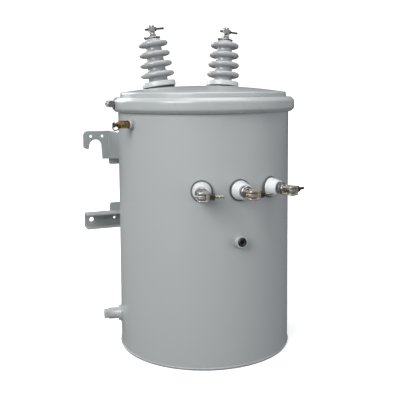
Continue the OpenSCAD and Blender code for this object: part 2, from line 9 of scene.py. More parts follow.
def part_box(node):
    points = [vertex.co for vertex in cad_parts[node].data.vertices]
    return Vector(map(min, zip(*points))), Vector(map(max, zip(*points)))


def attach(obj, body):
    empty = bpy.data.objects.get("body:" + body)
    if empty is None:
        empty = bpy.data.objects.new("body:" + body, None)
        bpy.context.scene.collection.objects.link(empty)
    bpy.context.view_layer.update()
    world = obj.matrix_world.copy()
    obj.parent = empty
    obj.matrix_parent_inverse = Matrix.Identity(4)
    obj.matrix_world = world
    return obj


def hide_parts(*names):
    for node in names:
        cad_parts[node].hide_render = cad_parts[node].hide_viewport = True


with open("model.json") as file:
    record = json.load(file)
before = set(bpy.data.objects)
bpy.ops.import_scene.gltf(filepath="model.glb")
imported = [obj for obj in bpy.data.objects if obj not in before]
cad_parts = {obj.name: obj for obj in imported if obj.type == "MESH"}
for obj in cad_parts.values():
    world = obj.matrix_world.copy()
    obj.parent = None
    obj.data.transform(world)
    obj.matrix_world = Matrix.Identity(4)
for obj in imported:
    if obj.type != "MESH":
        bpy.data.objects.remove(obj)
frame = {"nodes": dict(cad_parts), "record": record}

rng = random.Random(11)
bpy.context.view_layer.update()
nodes = frame["nodes"]
mounts = {m["name"]: m for m in frame["record"]["mounts"]}
print("frame loaded:", len(nodes), "nodes")


# shader groups that the finishes share
def newGroup(name, inputs, outputs):
    group = bpy.data.node_groups.new(name, "ShaderNodeTree")
    for label, kind, value in inputs:
        socket = group.interface.new_socket(label, in_out="INPUT", socket_type=kind)
        socket.default_value = value
    for label, kind in outputs:
        group.interface.new_socket(label, in_out="OUTPUT", socket_type=kind)
    return group, Wiring(group)


class Wiring:
    # short helpers for placing and joining shader nodes
    def __init__(self, tree):
        self.tree = tree
        self.column = 0

    def put(self, kind, settings=None, **inputs):
        node = self.tree.nodes.new(kind)
        self.column += 1
        node.location = (self.column * 180, -(self.column % 4) * 160)
        for key, value in (settings or {}).items():
            setattr(node, key, value)
        for key, value in inputs.items():
            self.feed(node, key.replace("_", " "), value)
        return node

    def feed(self, node, key, value):
        socket = node.inputs[int(key)] if key.isdigit() else node.inputs[key]
        if isinstance(value, bpy.types.NodeSocket):
            self.tree.links.new(value, socket)
        else:
            socket.default_value = value

    def math(self, operation, a, b=0.0, clamp=False):
        node = self.put("ShaderNodeMath", {"operation": operation, "use_clamp": clamp})
        self.feed(node, "0", a)
        self.feed(node, "1", b)
        return node.outputs[0]

    def mix(self, factor, a, b):
        node = self.put("ShaderNodeMix", {"data_type": "RGBA"})
        self.feed(node, "0", factor)
        self.feed(node, "6", a)
        self.feed(node, "7", b)
        return node.outputs[2]

    def ramp(self, value, low, high, fromMin=0.0, fromMax=1.0):
        node = self.put("ShaderNodeMapRange", {"clamp": True})
        self.feed(node, "Value", value)
        for key, number in (("From Min", fromMin), ("From Max", fromMax), ("To Min", low), ("To Max", high)):
            self.feed(node, key, number)
        return node.outputs[0]


def noise(w, place, scale, detail=3.0, roughness=0.5):
    node = w.put("ShaderNodeTexNoise", Scale=scale, Detail=detail, Roughness=roughness)
    w.feed(node, "Vector", place)
    return node.outputs["Fac"]


def makeMottleGroup():
    # slow colour and gloss drift, with fine speckle on top
    group, w = newGroup("Mottle", [
        ("Colour", "NodeSocketColor", (0.5, 0.5, 0.5, 1)), ("Second Colour", "NodeSocketColor", (0.4, 0.4, 0.4, 1)),
        ("Patch Scale", "NodeSocketFloat", 9.0), ("Speckle Scale", "NodeSocketFloat", 700.0),
        ("Amount", "NodeSocketFloat", 0.4), ("Speckle", "NodeSocketFloat", 0.1),
        ("Gloss Low", "NodeSocketFloat", 0.25), ("Gloss High", "NodeSocketFloat", 0.4)],
        [("Colour", "NodeSocketColor"), ("Roughness", "NodeSocketFloat"), ("Patches", "NodeSocketFloat")])
    i = w.put("NodeGroupInput").outputs
    place = w.put("ShaderNodeTexCoord").outputs["Object"]
    patches = w.ramp(noise(w, place, i["Patch Scale"], 3.0, 0.5), 0, 1, 0.12, 0.88)
    speckle = w.ramp(noise(w, place, i["Speckle Scale"], 2.0, 0.5), -1, 1, 0.3, 0.7)
    amount = w.math("ADD", w.math("MULTIPLY", patches, i["Amount"]), w.math("MULTIPLY", speckle, i["Speckle"]),
                    True)
    colour = w.mix(amount, i["Colour"], i["Second Colour"])
    spread = w.math("SUBTRACT", i["Gloss High"], i["Gloss Low"])
    gloss = w.math("ADD", i["Gloss Low"], w.math("MULTIPLY", spread, patches))
    o = w.put("NodeGroupOutput")
    w.feed(o, "Colour", colour)
    w.feed(o, "Roughness", gloss)
    w.feed(o, "Patches", patches)
    return group


def makeEdgeGroup():
    # where the surface turns sharply, broken up so that it is never even: wear on most finishes, a painted
    # highlight along the lit edges on the bracket paint
    group, w = newGroup("Edge Wear And Highlight", [
        ("Radius", "NodeSocketFloat", 0.0015), ("Strength", "NodeSocketFloat", 1.0),
        ("Break Scale", "NodeSocketFloat", 90.0), ("Spread", "NodeSocketFloat", 0.5)],
        [("Mask", "NodeSocketFloat")])
    i = w.put("NodeGroupInput").outputs
    place = w.put("ShaderNodeTexCoord").outputs["Object"]
    soft = w.put("ShaderNodeBevel", {"samples": 6})
    w.feed(soft, "Radius", i["Radius"])
    sharp = w.put("ShaderNodeNewGeometry").outputs["Normal"]
    dot = w.put("ShaderNodeVectorMath", {"operation": "DOT_PRODUCT"})
    w.feed(dot, "0", soft.outputs[0])
    w.feed(dot, "1", sharp)
    edge = w.ramp(dot.outputs["Value"], 1, 0, 0.80, 0.995)
    broken = w.ramp(noise(w, place, i["Break Scale"], 6.0, 0.7), 0, 1, 0.35, 0.6)
    kept = w.math("ADD", w.math("MULTIPLY", broken, i["Spread"]), w.math("SUBTRACT", 1.0, i["Spread"]))
    o = w.put("NodeGroupOutput")
    w.feed(o, "Mask", w.math("MULTIPLY", w.math("MULTIPLY", edge, kept), i["Strength"], True))
    return group


def makeDustGroup():
    # thin dust on what faces up, gathered in low noise patches
    group, w = newGroup("Settled Dust", [
        ("Amount", "NodeSocketFloat", 0.3), ("Patch Scale", "NodeSocketFloat", 24.0)],
        [("Mask", "NodeSocketFloat")])
    i = w.put("NodeGroupInput").outputs
    place = w.put("ShaderNodeTexCoord").outputs["Object"]
    parts = w.put("ShaderNodeSeparateXYZ")
    w.feed(parts, "Vector", w.put("ShaderNodeNewGeometry").outputs["Normal"])
    up = w.ramp(parts.outputs["Z"], 0, 1, 0.25, 0.95)
    patch = w.ramp(noise(w, place, i["Patch Scale"], 6.0, 0.65), 0.35, 1, 0.35, 0.65)
    o = w.put("NodeGroupOutput")
    w.feed(o, "Mask", w.math("MULTIPLY", w.math("MULTIPLY", up, patch), i["Amount"], True))
    return group


def makeScratchGroup():
    # sparse fine hairlines in two directions
    group, w = newGroup("Hairlines", [
        ("Scale", "NodeSocketFloat", 30.0), ("Amount", "NodeSocketFloat", 0.5)], [("Mask", "NodeSocketFloat")])
    i = w.put("NodeGroupInput").outputs
    place = w.put("ShaderNodeTexCoord").outputs["Object"]
    masks = []
    for turn, stretch in ((0.4, 16.0), (2.1, 11.0)):
        move = w.put("ShaderNodeMapping", Scale=(1.0, stretch, 1.0), Rotation=(turn, 0.3, turn))
        w.feed(move, "Vector", place)
        line = noise(w, move.outputs[0], i["Scale"], 2.0, 0.45)
        band = w.math("ABSOLUTE", w.math("SUBTRACT", line, 0.5))
        masks.append(w.ramp(band, 1, 0, 0.0, 0.004))
    sparse = w.ramp(noise(w, place, 14.0, 3.0, 0.5), 0, 1, 0.56, 0.66)
    both = w.math("MAXIMUM", masks[0], masks[1])
    o = w.put("NodeGroupOutput")
    w.feed(o, "Mask", w.math("MULTIPLY", w.math("MULTIPLY", both, sparse), i["Amount"], True))
    return group


def makeReliefGroup():
    # height for a Bump node: long waves, a fine skin and round pits
    group, w = newGroup("Surface Relief", [
        ("Wave Scale", "NodeSocketFloat", 5.0), ("Wave", "NodeSocketFloat", 0.0),
        ("Skin Scale", "NodeSocketFloat", 500.0), ("Skin", "NodeSocketFloat", 0.3),
        ("Pit Scale", "NodeSocketFloat", 160.0), ("Pits", "NodeSocketFloat", 0.0)],
        [("Height", "NodeSocketFloat")])
    i = w.put("NodeGroupInput").outputs
    place = w.put("ShaderNodeTexCoord").outputs["Object"]
    wave = w.math("MULTIPLY", noise(w, place, i["Wave Scale"], 2.0, 0.4), i["Wave"])
    skin = w.math("MULTIPLY", noise(w, place, i["Skin Scale"], 2.0, 0.5), i["Skin"])
    cell = w.put("ShaderNodeTexVoronoi", {"feature": "SMOOTH_F1"})
    w.feed(cell, "Vector", place)
    w.feed(cell, "Scale", i["Pit Scale"])
    pits = w.math("MULTIPLY", w.ramp(cell.outputs["Distance"], 0, 1, 0.0, 0.6), i["Pits"])
    o = w.put("NodeGroupOutput")
    w.feed(o, "Height", w.math("ADD", w.math("ADD", wave, skin), pits))
    return group


mottleGroup = makeMottleGroup()
edgeGroup = makeEdgeGroup()
dustGroup = makeDustGroup()
scratchGroup = makeScratchGroup()
reliefGroup = makeReliefGroup()


def makeFinish(name, look):
    # one Principled shader fed by the groups, each with this finish's own values
    material = bpy.data.materials.new(name)
    material.use_nodes = True
    material.node_tree.nodes.clear()
    w = Wiring(material.node_tree)

    def group(tree, **values):
        node = w.put("ShaderNodeGroup", {"node_tree": tree})
        for key, value in values.items():
            w.feed(node, key, value)
        return node.outputs

    shader = w.put("ShaderNodeBsdfPrincipled")
    mottle = group(mottleGroup, **{
        "Colour": (*look["colour"], 1), "Second Colour": (*look["second"], 1),
        "Patch Scale": look.get("patchScale", 9.0), "Speckle Scale": look.get("speckleScale", 700.0),
        "Amount": look.get("mottle", 0.4), "Speckle": look.get("speckle", 0.08),
        "Gloss Low": look["gloss"][0], "Gloss High": look["gloss"][1]})
    colour, rough = mottle["Colour"], mottle["Roughness"]
    metal = look.get("metal", 0.0)
    if "edgeWearAndHighlight" in look:
        # the edge colour is wear on most finishes, and a painted highlight on the bracket paint
        wearAndHighlightMask = group(edgeGroup, **{
            "Radius": look.get("wearRadius", 0.0012), "Strength": look["edgeWearAndHighlight"],
            "Break Scale": look.get("wearScale", 120.0), "Spread": look.get("wearSpread", 0.6)})["Mask"]
        colour = w.mix(wearAndHighlightMask, colour, (*look["wearAndHighlightColour"], 1))
        rough = w.math("ADD", rough, w.math("MULTIPLY", wearAndHighlightMask, look.get("wornRough", 0.1)))
        if "wornMetal" in look:
            metal = w.ramp(wearAndHighlightMask, metal, look["wornMetal"])
    if look.get("hairlines"):
        lines = group(scratchGroup, **{"Scale": look.get("lineScale", 26.0), "Amount": look["hairlines"]})["Mask"]
        rough = w.math("ADD", rough, w.math("MULTIPLY", lines, 0.25))
        colour = w.mix(w.math("MULTIPLY", lines, 0.35), colour, (*look.get("lineColour", look["second"]), 1))
    if look.get("dust"):
        dust = group(dustGroup, **{"Amount": look["dust"], "Patch Scale": look.get("dustScale", 24.0)})["Mask"]
        colour = w.mix(dust, colour, (*look.get("dustColour", (0.52, 0.50, 0.47)), 1))
        rough = w.math("ADD", rough, w.math("MULTIPLY", dust, 0.45))
    relief = group(reliefGroup, **{
        "Wave Scale": look.get("waveScale", 5.0), "Wave": look.get("wave", 0.0),
        "Skin Scale": look.get("skinScale", 500.0), "Skin": look.get("skin", 0.3),
        "Pit Scale": look.get("pitScale", 160.0), "Pits": look.get("pits", 0.0)})["Height"]
    bump = w.put("ShaderNodeBump", Strength=look.get("bump", 0.2), Distance=look.get("bumpDepth", 0.0006))
    w.feed(bump, "Height", relief)
    if look.get("softEdge"):
        soft = w.put("ShaderNodeBevel", {"samples": 6}, Radius=look["softEdge"])
        w.feed(bump, "Normal", soft.outputs[0])
    w.feed(shader, "Base Color", colour)
    w.feed(shader, "Roughness", rough)
    w.feed(shader, "Metallic", metal)
    w.feed(shader, "Normal", bump.outputs[0])
    for socket, value in look.get("sockets", {}).items():
        shader.inputs[socket].default_value = value
    out = w.put("ShaderNodeOutputMaterial")
    w.tree.links.new(shader.outputs[0], out.inputs["Surface"])
    return material


# every finish in one place: colours are linear RGB
# what the glossy sheet paints, the metals and the studs have in common
paintBase = {
    "colour": (0.41, 0.43, 0.435), "mottle": 0.5, "speckle": 0.04, "skin": 0.22, "skinScale": 420.0,
    "bump": 0.1, "edgeWearAndHighlight": 0.25, "sockets": {"Coat Weight": 0.35, "Coat Roughness": 0.12, "IOR": 1.5}}
metalBase = {
    "patchScale": 110.0, "mottle": 1.0, "speckle": 0.2, "skin": 0.6, "skinScale": 420.0, "bump": 0.4,
    "edgeWearAndHighlight": 0.6, "wornRough": -0.08}
studBase = {
    "patchScale": 90.0, "speckle": 0.2, "speckleScale": 700.0, "metal": 0.9, "skin": 0.5, "skinScale": 800.0,
    "bump": 0.2, "edgeWearAndHighlight": 0.5, "wearRadius": 0.0005}
finishes = {
    "tank_paint": {
        **paintBase, "second": (0.385, 0.405, 0.41), "patchScale": 2.2, "gloss": (0.27, 0.32), "wave": 6.0,
        "waveScale": 5.5, "dust": 0.08, "wearAndHighlightColour": (0.5, 0.51, 0.5)},
    "cover_paint": {
        **paintBase, "second": (0.375, 0.4, 0.405), "patchScale": 4.0, "gloss": (0.24, 0.31), "wave": 4.0,
        "waveScale": 6.0, "dust": 0.18, "wearAndHighlightColour": (0.55, 0.56, 0.55)},
    # bracket paint: its light edge colour is a painted highlight along the plate's lit edges, laid on by the edge
    # mask
    "bracket_paint": {
        "colour": (0.31, 0.33, 0.335), "second": (0.25, 0.265, 0.27), "patchScale": 18.0, "mottle": 0.5,
        "gloss": (0.3, 0.42), "skin": 0.4, "skinScale": 300.0, "bump": 0.18, "hairlines": 0.3, "dust": 0.25,
        "edgeWearAndHighlight": 0.7, "wearRadius": 0.0022, "wearAndHighlightColour": (0.56, 0.57, 0.56), "softEdge": 0.0014,
        "sockets": {"Coat Weight": 0.2, "Coat Roughness": 0.2}},
    "galvanised": {
        "colour": (0.46, 0.48, 0.48), "second": (0.3, 0.315, 0.32), "patchScale": 34.0, "mottle": 1.0,
        "speckle": 0.25, "speckleScale": 260.0, "gloss": (0.34, 0.52), "metal": 0.3, "skin": 0.5,
        "skinScale": 240.0, "pits": 0.3, "pitScale": 120.0, "bump": 0.22, "edgeWearAndHighlight": 0.8, "wearRadius": 0.0022,
        "wearAndHighlightColour": (0.74, 0.75, 0.74), "softEdge": 0.0015, "dust": 0.3, "dustColour": (0.66, 0.66, 0.65)},
    "hv_porcelain": {
        "colour": (0.37, 0.38, 0.39), "second": (0.32, 0.33, 0.34), "patchScale": 30.0, "mottle": 0.45,
        "speckle": 0.1, "speckleScale": 900.0, "gloss": (0.16, 0.26), "skin": 0.25, "skinScale": 90.0,
        "bump": 0.08, "dust": 0.3, "dustColour": (0.6, 0.61, 0.61),
        "sockets": {"Coat Weight": 0.4, "Coat Roughness": 0.1, "IOR": 1.5}},
    "lv_porcelain": {
        "colour": (0.7, 0.715, 0.725), "second": (0.62, 0.64, 0.655), "patchScale": 40.0, "mottle": 0.4,
        "speckle": 0.06, "speckleScale": 900.0, "gloss": (0.1, 0.2), "skin": 0.2, "skinScale": 110.0,
        "bump": 0.07, "dust": 0.08, "sockets": {"Coat Weight": 0.6, "Coat Roughness": 0.05, "IOR": 1.55}},
    "clamp_ring_metal": {
        "colour": (0.5, 0.52, 0.525), "second": (0.42, 0.44, 0.445), "patchScale": 30.0, "mottle": 0.4,
        "gloss": (0.28, 0.4), "skin": 0.5, "skinScale": 330.0, "bump": 0.2, "dust": 0.2, "edgeWearAndHighlight": 0.35,
        "wearAndHighlightColour": (0.62, 0.63, 0.63), "sockets": {"Coat Weight": 0.2, "Coat Roughness": 0.2}},
    "tinned_metal": {
        **metalBase, "colour": (0.72, 0.715, 0.7), "second": (0.16, 0.157, 0.15), "patchScale": 150.0,
        "speckle": 0.25, "speckleScale": 500.0, "gloss": (0.24, 0.44), "metal": 0.75, "skin": 0.7, "pits": 0.4,
        "pitScale": 260.0, "bump": 0.45, "wearAndHighlightColour": (0.88, 0.87, 0.85)},
    "dark_tin": {
        **metalBase, "colour": (0.26, 0.255, 0.245), "second": (0.09, 0.088, 0.084), "patchScale": 120.0,
        "speckle": 0.25, "speckleScale": 500.0, "gloss": (0.28, 0.46), "metal": 0.75, "bump": 0.3,
        "wearAndHighlightColour": (0.62, 0.61, 0.58)},
    "olive_bronze": {
        **metalBase, "colour": (0.68, 0.66, 0.59), "second": (0.2, 0.19, 0.155), "speckleScale": 480.0,
        "gloss": (0.28, 0.46), "metal": 0.65, "skinScale": 400.0, "pits": 0.35, "pitScale": 260.0,
        "wearAndHighlightColour": (0.8, 0.78, 0.7)},
    "copper_bronze": {
        **metalBase, "colour": (0.74, 0.64, 0.56), "second": (0.26, 0.2, 0.165), "speckleScale": 480.0,
        "gloss": (0.26, 0.44), "metal": 0.7, "skinScale": 400.0, "pits": 0.35, "pitScale": 260.0,
        "wearAndHighlightColour": (0.8, 0.72, 0.65)},
    "stud_metal": {
        **studBase, "colour": (0.4, 0.38, 0.31), "second": (0.16, 0.15, 0.12), "mottle": 0.85, "speckle": 0.25,
        "gloss": (0.24, 0.42), "edgeWearAndHighlight": 0.6, "wearAndHighlightColour": (0.62, 0.59, 0.49), "wornRough": -0.06},
    "bright_stud": {
        **studBase, "colour": (0.62, 0.6, 0.56), "second": (0.16, 0.15, 0.14), "mottle": 0.6,
        "gloss": (0.2, 0.34), "wearAndHighlightColour": (0.66, 0.65, 0.62)},
    "dark_stud": {
        **studBase, "colour": (0.1, 0.095, 0.088), "second": (0.04, 0.038, 0.036), "mottle": 0.8,
        "gloss": (0.28, 0.42), "metal": 0.8, "wearAndHighlightColour": (0.42, 0.4, 0.36)},
    "worn_rubber": {
        "colour": (0.085, 0.088, 0.092), "second": (0.13, 0.133, 0.137), "patchScale": 60.0, "mottle": 0.8,
        "gloss": (0.5, 0.65), "skin": 0.6, "skinScale": 500.0, "bump": 0.3, "dust": 0.3},
    "nut_bronze": {
        **metalBase, "colour": (0.1, 0.08, 0.062), "second": (0.035, 0.03, 0.026), "patchScale": 80.0,
        "speckleScale": 600.0, "gloss": (0.3, 0.48), "metal": 0.8, "skinScale": 500.0, "bump": 0.3,
        "wearAndHighlightColour": (0.36, 0.31, 0.26), "wornRough": -0.1},
    "bolt_steel": {
        "colour": (0.42, 0.42, 0.41), "second": (0.16, 0.16, 0.155), "patchScale": 60.0, "mottle": 0.8,
        "speckle": 0.2, "gloss": (0.24, 0.42), "metal": 0.92, "skin": 0.5, "skinScale": 500.0, "bump": 0.25,
        "edgeWearAndHighlight": 0.5, "wearAndHighlightColour": (0.78, 0.78, 0.77), "wornRough": -0.08},
    "valve_brass": {
        **metalBase, "colour": (0.38, 0.21, 0.075), "second": (0.05, 0.032, 0.018), "speckle": 0.35,
        "speckleScale": 420.0, "gloss": (0.22, 0.46), "metal": 0.9, "pits": 0.3, "pitScale": 240.0, "edgeWearAndHighlight": 0.8,
        "wearAndHighlightColour": (0.86, 0.62, 0.33), "wornRough": -0.1},
    "black_rubber": {
        "colour": (0.035, 0.036, 0.038), "second": (0.06, 0.06, 0.062), "patchScale": 40.0, "mottle": 0.6,
        "gloss": (0.5, 0.65), "skin": 0.6, "skinScale": 500.0, "bump": 0.3, "dust": 0.35, "softEdge": 0.0008},
    "black_iron": {
        "colour": (0.022, 0.022, 0.024), "second": (0.05, 0.05, 0.05), "patchScale": 90.0, "mottle": 0.6,
        "gloss": (0.26, 0.42), "metal": 0.4, "skin": 0.6, "skinScale": 450.0, "bump": 0.3, "edgeWearAndHighlight": 0.6,
        "wearAndHighlightColour": (0.25, 0.25, 0.24)},
    "dark_wire": {
        "colour": (0.07, 0.065, 0.06), "second": (0.03, 0.03, 0.03), "patchScale": 120.0, "mottle": 0.6,
        "gloss": (0.3, 0.45), "metal": 0.8, "skin": 0.5, "skinScale": 700.0, "bump": 0.25, "edgeWearAndHighlight": 0.4,
        "wearAndHighlightColour": (0.3, 0.29, 0.27)},
    "core_steel": {
        "colour": (0.2, 0.21, 0.22), "second": (0.13, 0.14, 0.15), "mottle": 0.6, "gloss": (0.4, 0.55),
        "metal": 0.5, "skin": 0.5, "bump": 0.2},
    "weld_paint": {
        "colour": (0.38, 0.4, 0.405), "second": (0.3, 0.315, 0.32), "patchScale": 60.0, "mottle": 0.6,
        "gloss": (0.3, 0.42), "skin": 0.6, "skinScale": 260.0, "bump": 0.3},
}
materials = {name: makeFinish(name, look) for name, look in finishes.items()}
slotOf = {s["node"]: s["material_slot"] for s in frame["record"]["subparts"]}
print("materials made:", len(materials))


def addPiece(name, verts, faces, finish, place=None, sharpAngle=38, slot=None):
    mesh = bpy.data.meshes.new(name)
    mesh.from_pydata([tuple(v) for v in verts], [], faces)
    bm = bmesh.new()
    bm.from_mesh(mesh)
    bmesh.ops.remove_doubles(bm, verts=bm.verts, dist=1e-6)
    bmesh.ops.recalc_face_normals(bm, faces=bm.faces)
    for face in bm.faces:
        face.smooth = True
    for edge in bm.edges:
        if len(edge.link_faces) == 2 and edge.calc_face_angle(0) > math.radians(sharpAngle):
            edge.smooth = False
    if place is not None:
        bm.transform(place)
    bm.to_mesh(mesh)
    bm.free()
    piece = bpy.data.objects.new(name, mesh)
    bpy.context.scene.collection.objects.link(piece)
    piece.data.materials.append(materials[finish])
    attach(piece, "root")
    return piece


def roundOff(points, radii, steps=5):
    # replaces the corners of an open outline by arcs; radii maps a corner's number to its radius
    out = []
    for i, p in enumerate(points):
        r = radii.get(i, 0) if 0 < i < len(points) - 1 else 0
        if not r:
            out.append(Vector(p))
            continue
        p, a, b = Vector(p), Vector(points[i - 1]), Vector(points[i + 1])
        toA, toB = (a - p).normalized(), (b - p).normalized()
        half = toA.angle(toB) / 2
        back = min(r / math.tan(half), (a - p).length * 0.49, (b - p).length * 0.49)
        r = back * math.tan(half)
        centre = p + (toA + toB).normalized() * (r / math.sin(half))
        start, end = p + toA * back - centre, p + toB * back - centre
        turn = start.angle_signed(end)
        for k in range(steps + 1):
            t = -turn * k / steps
            c, s = math.cos(t), math.sin(t)
            out.append(centre + Vector((start.x * c - start.y * s, start.x * s + start.y * c)))
    return out


def lathe(name, outline, finish, place=None, steps=96, start=0.0, sweep=360.0, closed=False, **more):
    # turns an outline of (radius, height) about Z; closed makes a ring section, and the
    # outline may be a function of the step and its angle
    full = sweep >= 360
    count = steps if full else steps + 1
    outlineAt = outline if callable(outline) else lambda i, a: outline
    verts, faces = [], []
    for i in range(count):
        a = math.radians(start + sweep * i / steps)
        section = outlineAt(i, a)
        verts += [(r * math.cos(a), r * math.sin(a), z) for r, z in section]
    n = len(section)
    for i in range(steps):
        j = (i + 1) % count
        for k in range(n if closed else n - 1):
            m = (k + 1) % n
            faces.append((i * n + k, j * n + k, j * n + m, i * n + m))
    if not full:
        faces.append(tuple(range(n)))
        faces.append(tuple(reversed(range((count - 1) * n, count * n))))
    return addPiece(name, verts, faces, finish, place, **more)


def hexRadius(flats, a):
    # distance from the centre to a hexagon's side at an angle
    return flats / 2 / math.cos((a + math.pi / 6) % (math.pi / 3) - math.pi / 6)


def arc(radius, x, y, start, end, steps):
    angles = [math.radians(start + (end - start) * k / steps) for k in range(steps + 1)]
    return [(x + radius * math.cos(a), y + radius * math.sin(a)) for a in angles]


hexLook = {"turned": 0.985, "chamfer": math.tan(math.radians(30)) * 1.12, "lip": 0.0006}


def hexNut(name, width, height, bore, finish, place, bothEnds=True, **more):
    # six flats with the turned chamfer on its corners
    limit = width / 2 * hexLook["turned"]

    def section(i, a):
        r = hexRadius(width, a)
        drop = max(0.0, r - limit) * hexLook["chamfer"]
        low, inner, lip = drop if bothEnds else 0.0, bore / 2, hexLook["lip"]
        return [(inner, 0), (min(limit, r) if bothEnds else r, 0), (r, low), (r, height - drop), (limit, height),
                (inner + lip, height), (inner, height - lip)]

    return lathe(name, section, finish, place, steps=72, closed=True, sharpAngle=24, **more)


def tubeFaces(rings, around, closed=False, shiftOf=lambda i: 0):
    # joins rings of points, each to the next; an open tube gets its two ends
    faces = []
    for i in range(rings if closed else rings - 1):
        j, shift = (i + 1) % rings, shiftOf(i)
        for k in range(around):
            m = (k + 1) % around
            faces.append((i * around + k, i * around + m, j * around + (m + shift) % around,
                          j * around + (k + shift) % around))
    if not closed:
        faces.append(tuple(reversed(range(around))))
        faces.append(tuple(range((rings - 1) * around, rings * around)))
    return faces


threadLook = {"depth": 0.34, "flank": 3.6, "crest": 0.15, "endCut": 1.2}  # shares of the pitch and of the depth


def threadRod(name, diameter, length, pitch, finish, place, **more):
    # a rod along Z with a real helical thread and chamfered ends
    around, perTurn = 28, 8
    rows = int(length / pitch * perTurn)
    depth, verts = pitch * threadLook["depth"], []
    for k in range(rows + 1):
        z = length * k / rows
        for i in range(around):
            a = 2 * math.pi * i / around
            phase = (z / pitch - i / around) % 1.0
            tooth = min(1.0, max(0.0, abs(phase - 0.5) * threadLook["flank"] - threadLook["crest"]))
            r = diameter / 2 - depth * (1 - tooth)
            r = min(r, diameter / 2 - depth * threadLook["endCut"] + min(z, length - z))
            verts.append((r * math.cos(a), r * math.sin(a), z))
    return addPiece(name, verts, tubeFaces(rows + 1, around), finish, place, **more)


def weldBead(name, path, radius, closed=True, ripple=0.18):
    # a rippled bead that follows points on a seam
    n, around, verts = len(path), 8, []
    for i, p in enumerate(path):
        after = path[(i + 1) % n if closed else min(i + 1, n - 1)]
        before = path[i - 1 if closed else max(i - 1, 0)]
        along = (after - before).normalized()
        side = along.orthogonal().normalized()
        r = radius * (1 + ripple * math.sin(i * 1.9) + ripple * 0.5 * (rng.random() - 0.5))
        verts += [p + Quaternion(along, 2 * math.pi * k / around) @ side * r for k in range(around)]

    def nearest(i):  # neighbouring rings are matched by their nearest start
        j = (i + 1) % n
        return min(range(around), key=lambda k: (verts[j * around + k] - verts[i * around]).length)

    faces = tubeFaces(n, around, closed, nearest)
    return addPiece(name, verts, faces, "weld_paint", slot="tank_paint", sharpAngle=80)


def joined(name, parts):
    # several meshes with one finish become one piece
    for part in parts[1:]:
        bm = bmesh.new()
        bm.from_mesh(parts[0].data)
        bm.from_mesh(part.data)
        bm.to_mesh(parts[0].data)
        bm.free()
        bpy.data.objects.remove(part)
    parts[0].name = name
    return parts[0]


def moved(x, y, z):
    return Matrix.Translation((x, y, z))


alongX = Matrix.Rotation(math.pi / 2, 4, "Y")  # lays a piece's own Z along X
tippedUp = Matrix.Rotation(math.pi / 2, 4, "X")


def boxCentre(node):
    low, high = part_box(node)
    return (low + high) / 2


def softBox(name, low, high, edge, finish, place=None, **more):
    # a block whose edges are rounded by a bevel in the mesh
    bm = bmesh.new()
    bmesh.ops.create_cube(bm, size=1)
    for v in bm.verts:
        v.co = Vector([(a + b) / 2 + c * (b - a) for a, b, c in zip(low, high, v.co)])
    bmesh.ops.bevel(bm, geom=bm.edges[:] + bm.verts[:], offset=edge, segments=3, affect="EDGES", profile=0.6)
    verts = [v.co.copy() for v in bm.verts]
    faces = [tuple(v.index for v in f.verts) for f in bm.faces]
    bm.free()
    return addPiece(name, verts, faces, finish, place, sharpAngle=50, **more)


def frameOf(origin, zAxis, xHint):
    z = Vector(zAxis).normalized()
    x = (Vector(xHint) - z * Vector(xHint).dot(z)).normalized()
    y = z.cross(x)
    m = Matrix.Identity(4)
    for i, axis in enumerate((x, y, z)):
        for k in range(3):
            m[k][i] = axis[k]
    m.translation = Vector(origin)
    return m


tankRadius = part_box("tank_bottom")[1].x
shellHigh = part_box("tank_shell")[1]


def wallFrame(angle, height, out=0.0):
    # Z points out of the wall, Y is up, X runs to the right seen from outside
    a = math.radians(angle)
    outward = Vector((math.sin(a), -math.cos(a), 0))
    return frameOf(outward * (tankRadius + out) + Vector((0, 0, height)), outward, (math.cos(a), math.sin(a), 0))


def wallAngle(node):
    c = boxCentre(node)
    return math.degrees(math.atan2(c.x, -c.y))


def ringOnWall(angle, height, radius, lift=0.0, points=48):
    # points of a circle that lies on the round wall
    path = []
    for i in range(points):
        t = 2 * math.pi * i / points
        across, up = radius * math.cos(t), radius * math.sin(t)
        a = math.radians(angle) + math.asin(across / tankRadius)
        path.append(Vector((math.sin(a) * (tankRadius + lift), -math.cos(a) * (tankRadius + lift), height + up)))
    return path


tankLook = {"bottomBead": 0.0028, "seamBead": 0.0022, "seamAngle": 168.0}


def dressTank():
    # bead around the bottom edge, and the upright seam on the pole side
    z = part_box("tank_bottom")[1].z
    around = [Vector((math.cos(t) * (tankRadius - 0.0005), math.sin(t) * (tankRadius - 0.0005), z))
              for t in [2 * math.pi * i / 420 for i in range(420)]]
    weldBead("bottom_weld", around, tankLook["bottomBead"], ripple=0.12)
    a = math.radians(tankLook["seamAngle"])
    top = shellHigh.z - 0.014
    line = [Vector((math.sin(a) * tankRadius, -math.cos(a) * tankRadius, z + 0.004 + (top - z - 0.004) * i / 300))
            for i in range(301)]
    weldBead("shell_seam", line, tankLook["seamBead"], closed=False)


dressTank()
print("tank dressed")


coverLook = {"sheet": 0.003, "stepInset": 0.007, "stepRound": 0.009, "footRound": 0.003, "domeRise": 0.020}
bandLook = {"sheet": 0.0025, "shoulder": (0.010, 0.010), "footBevel": 0.009, "gap": 0.034, "angle": -96.0,
            "lugThick": 0.008, "lugHigh": 0.020, "lugOut": 0.0175, "lugRound": 0.0018}


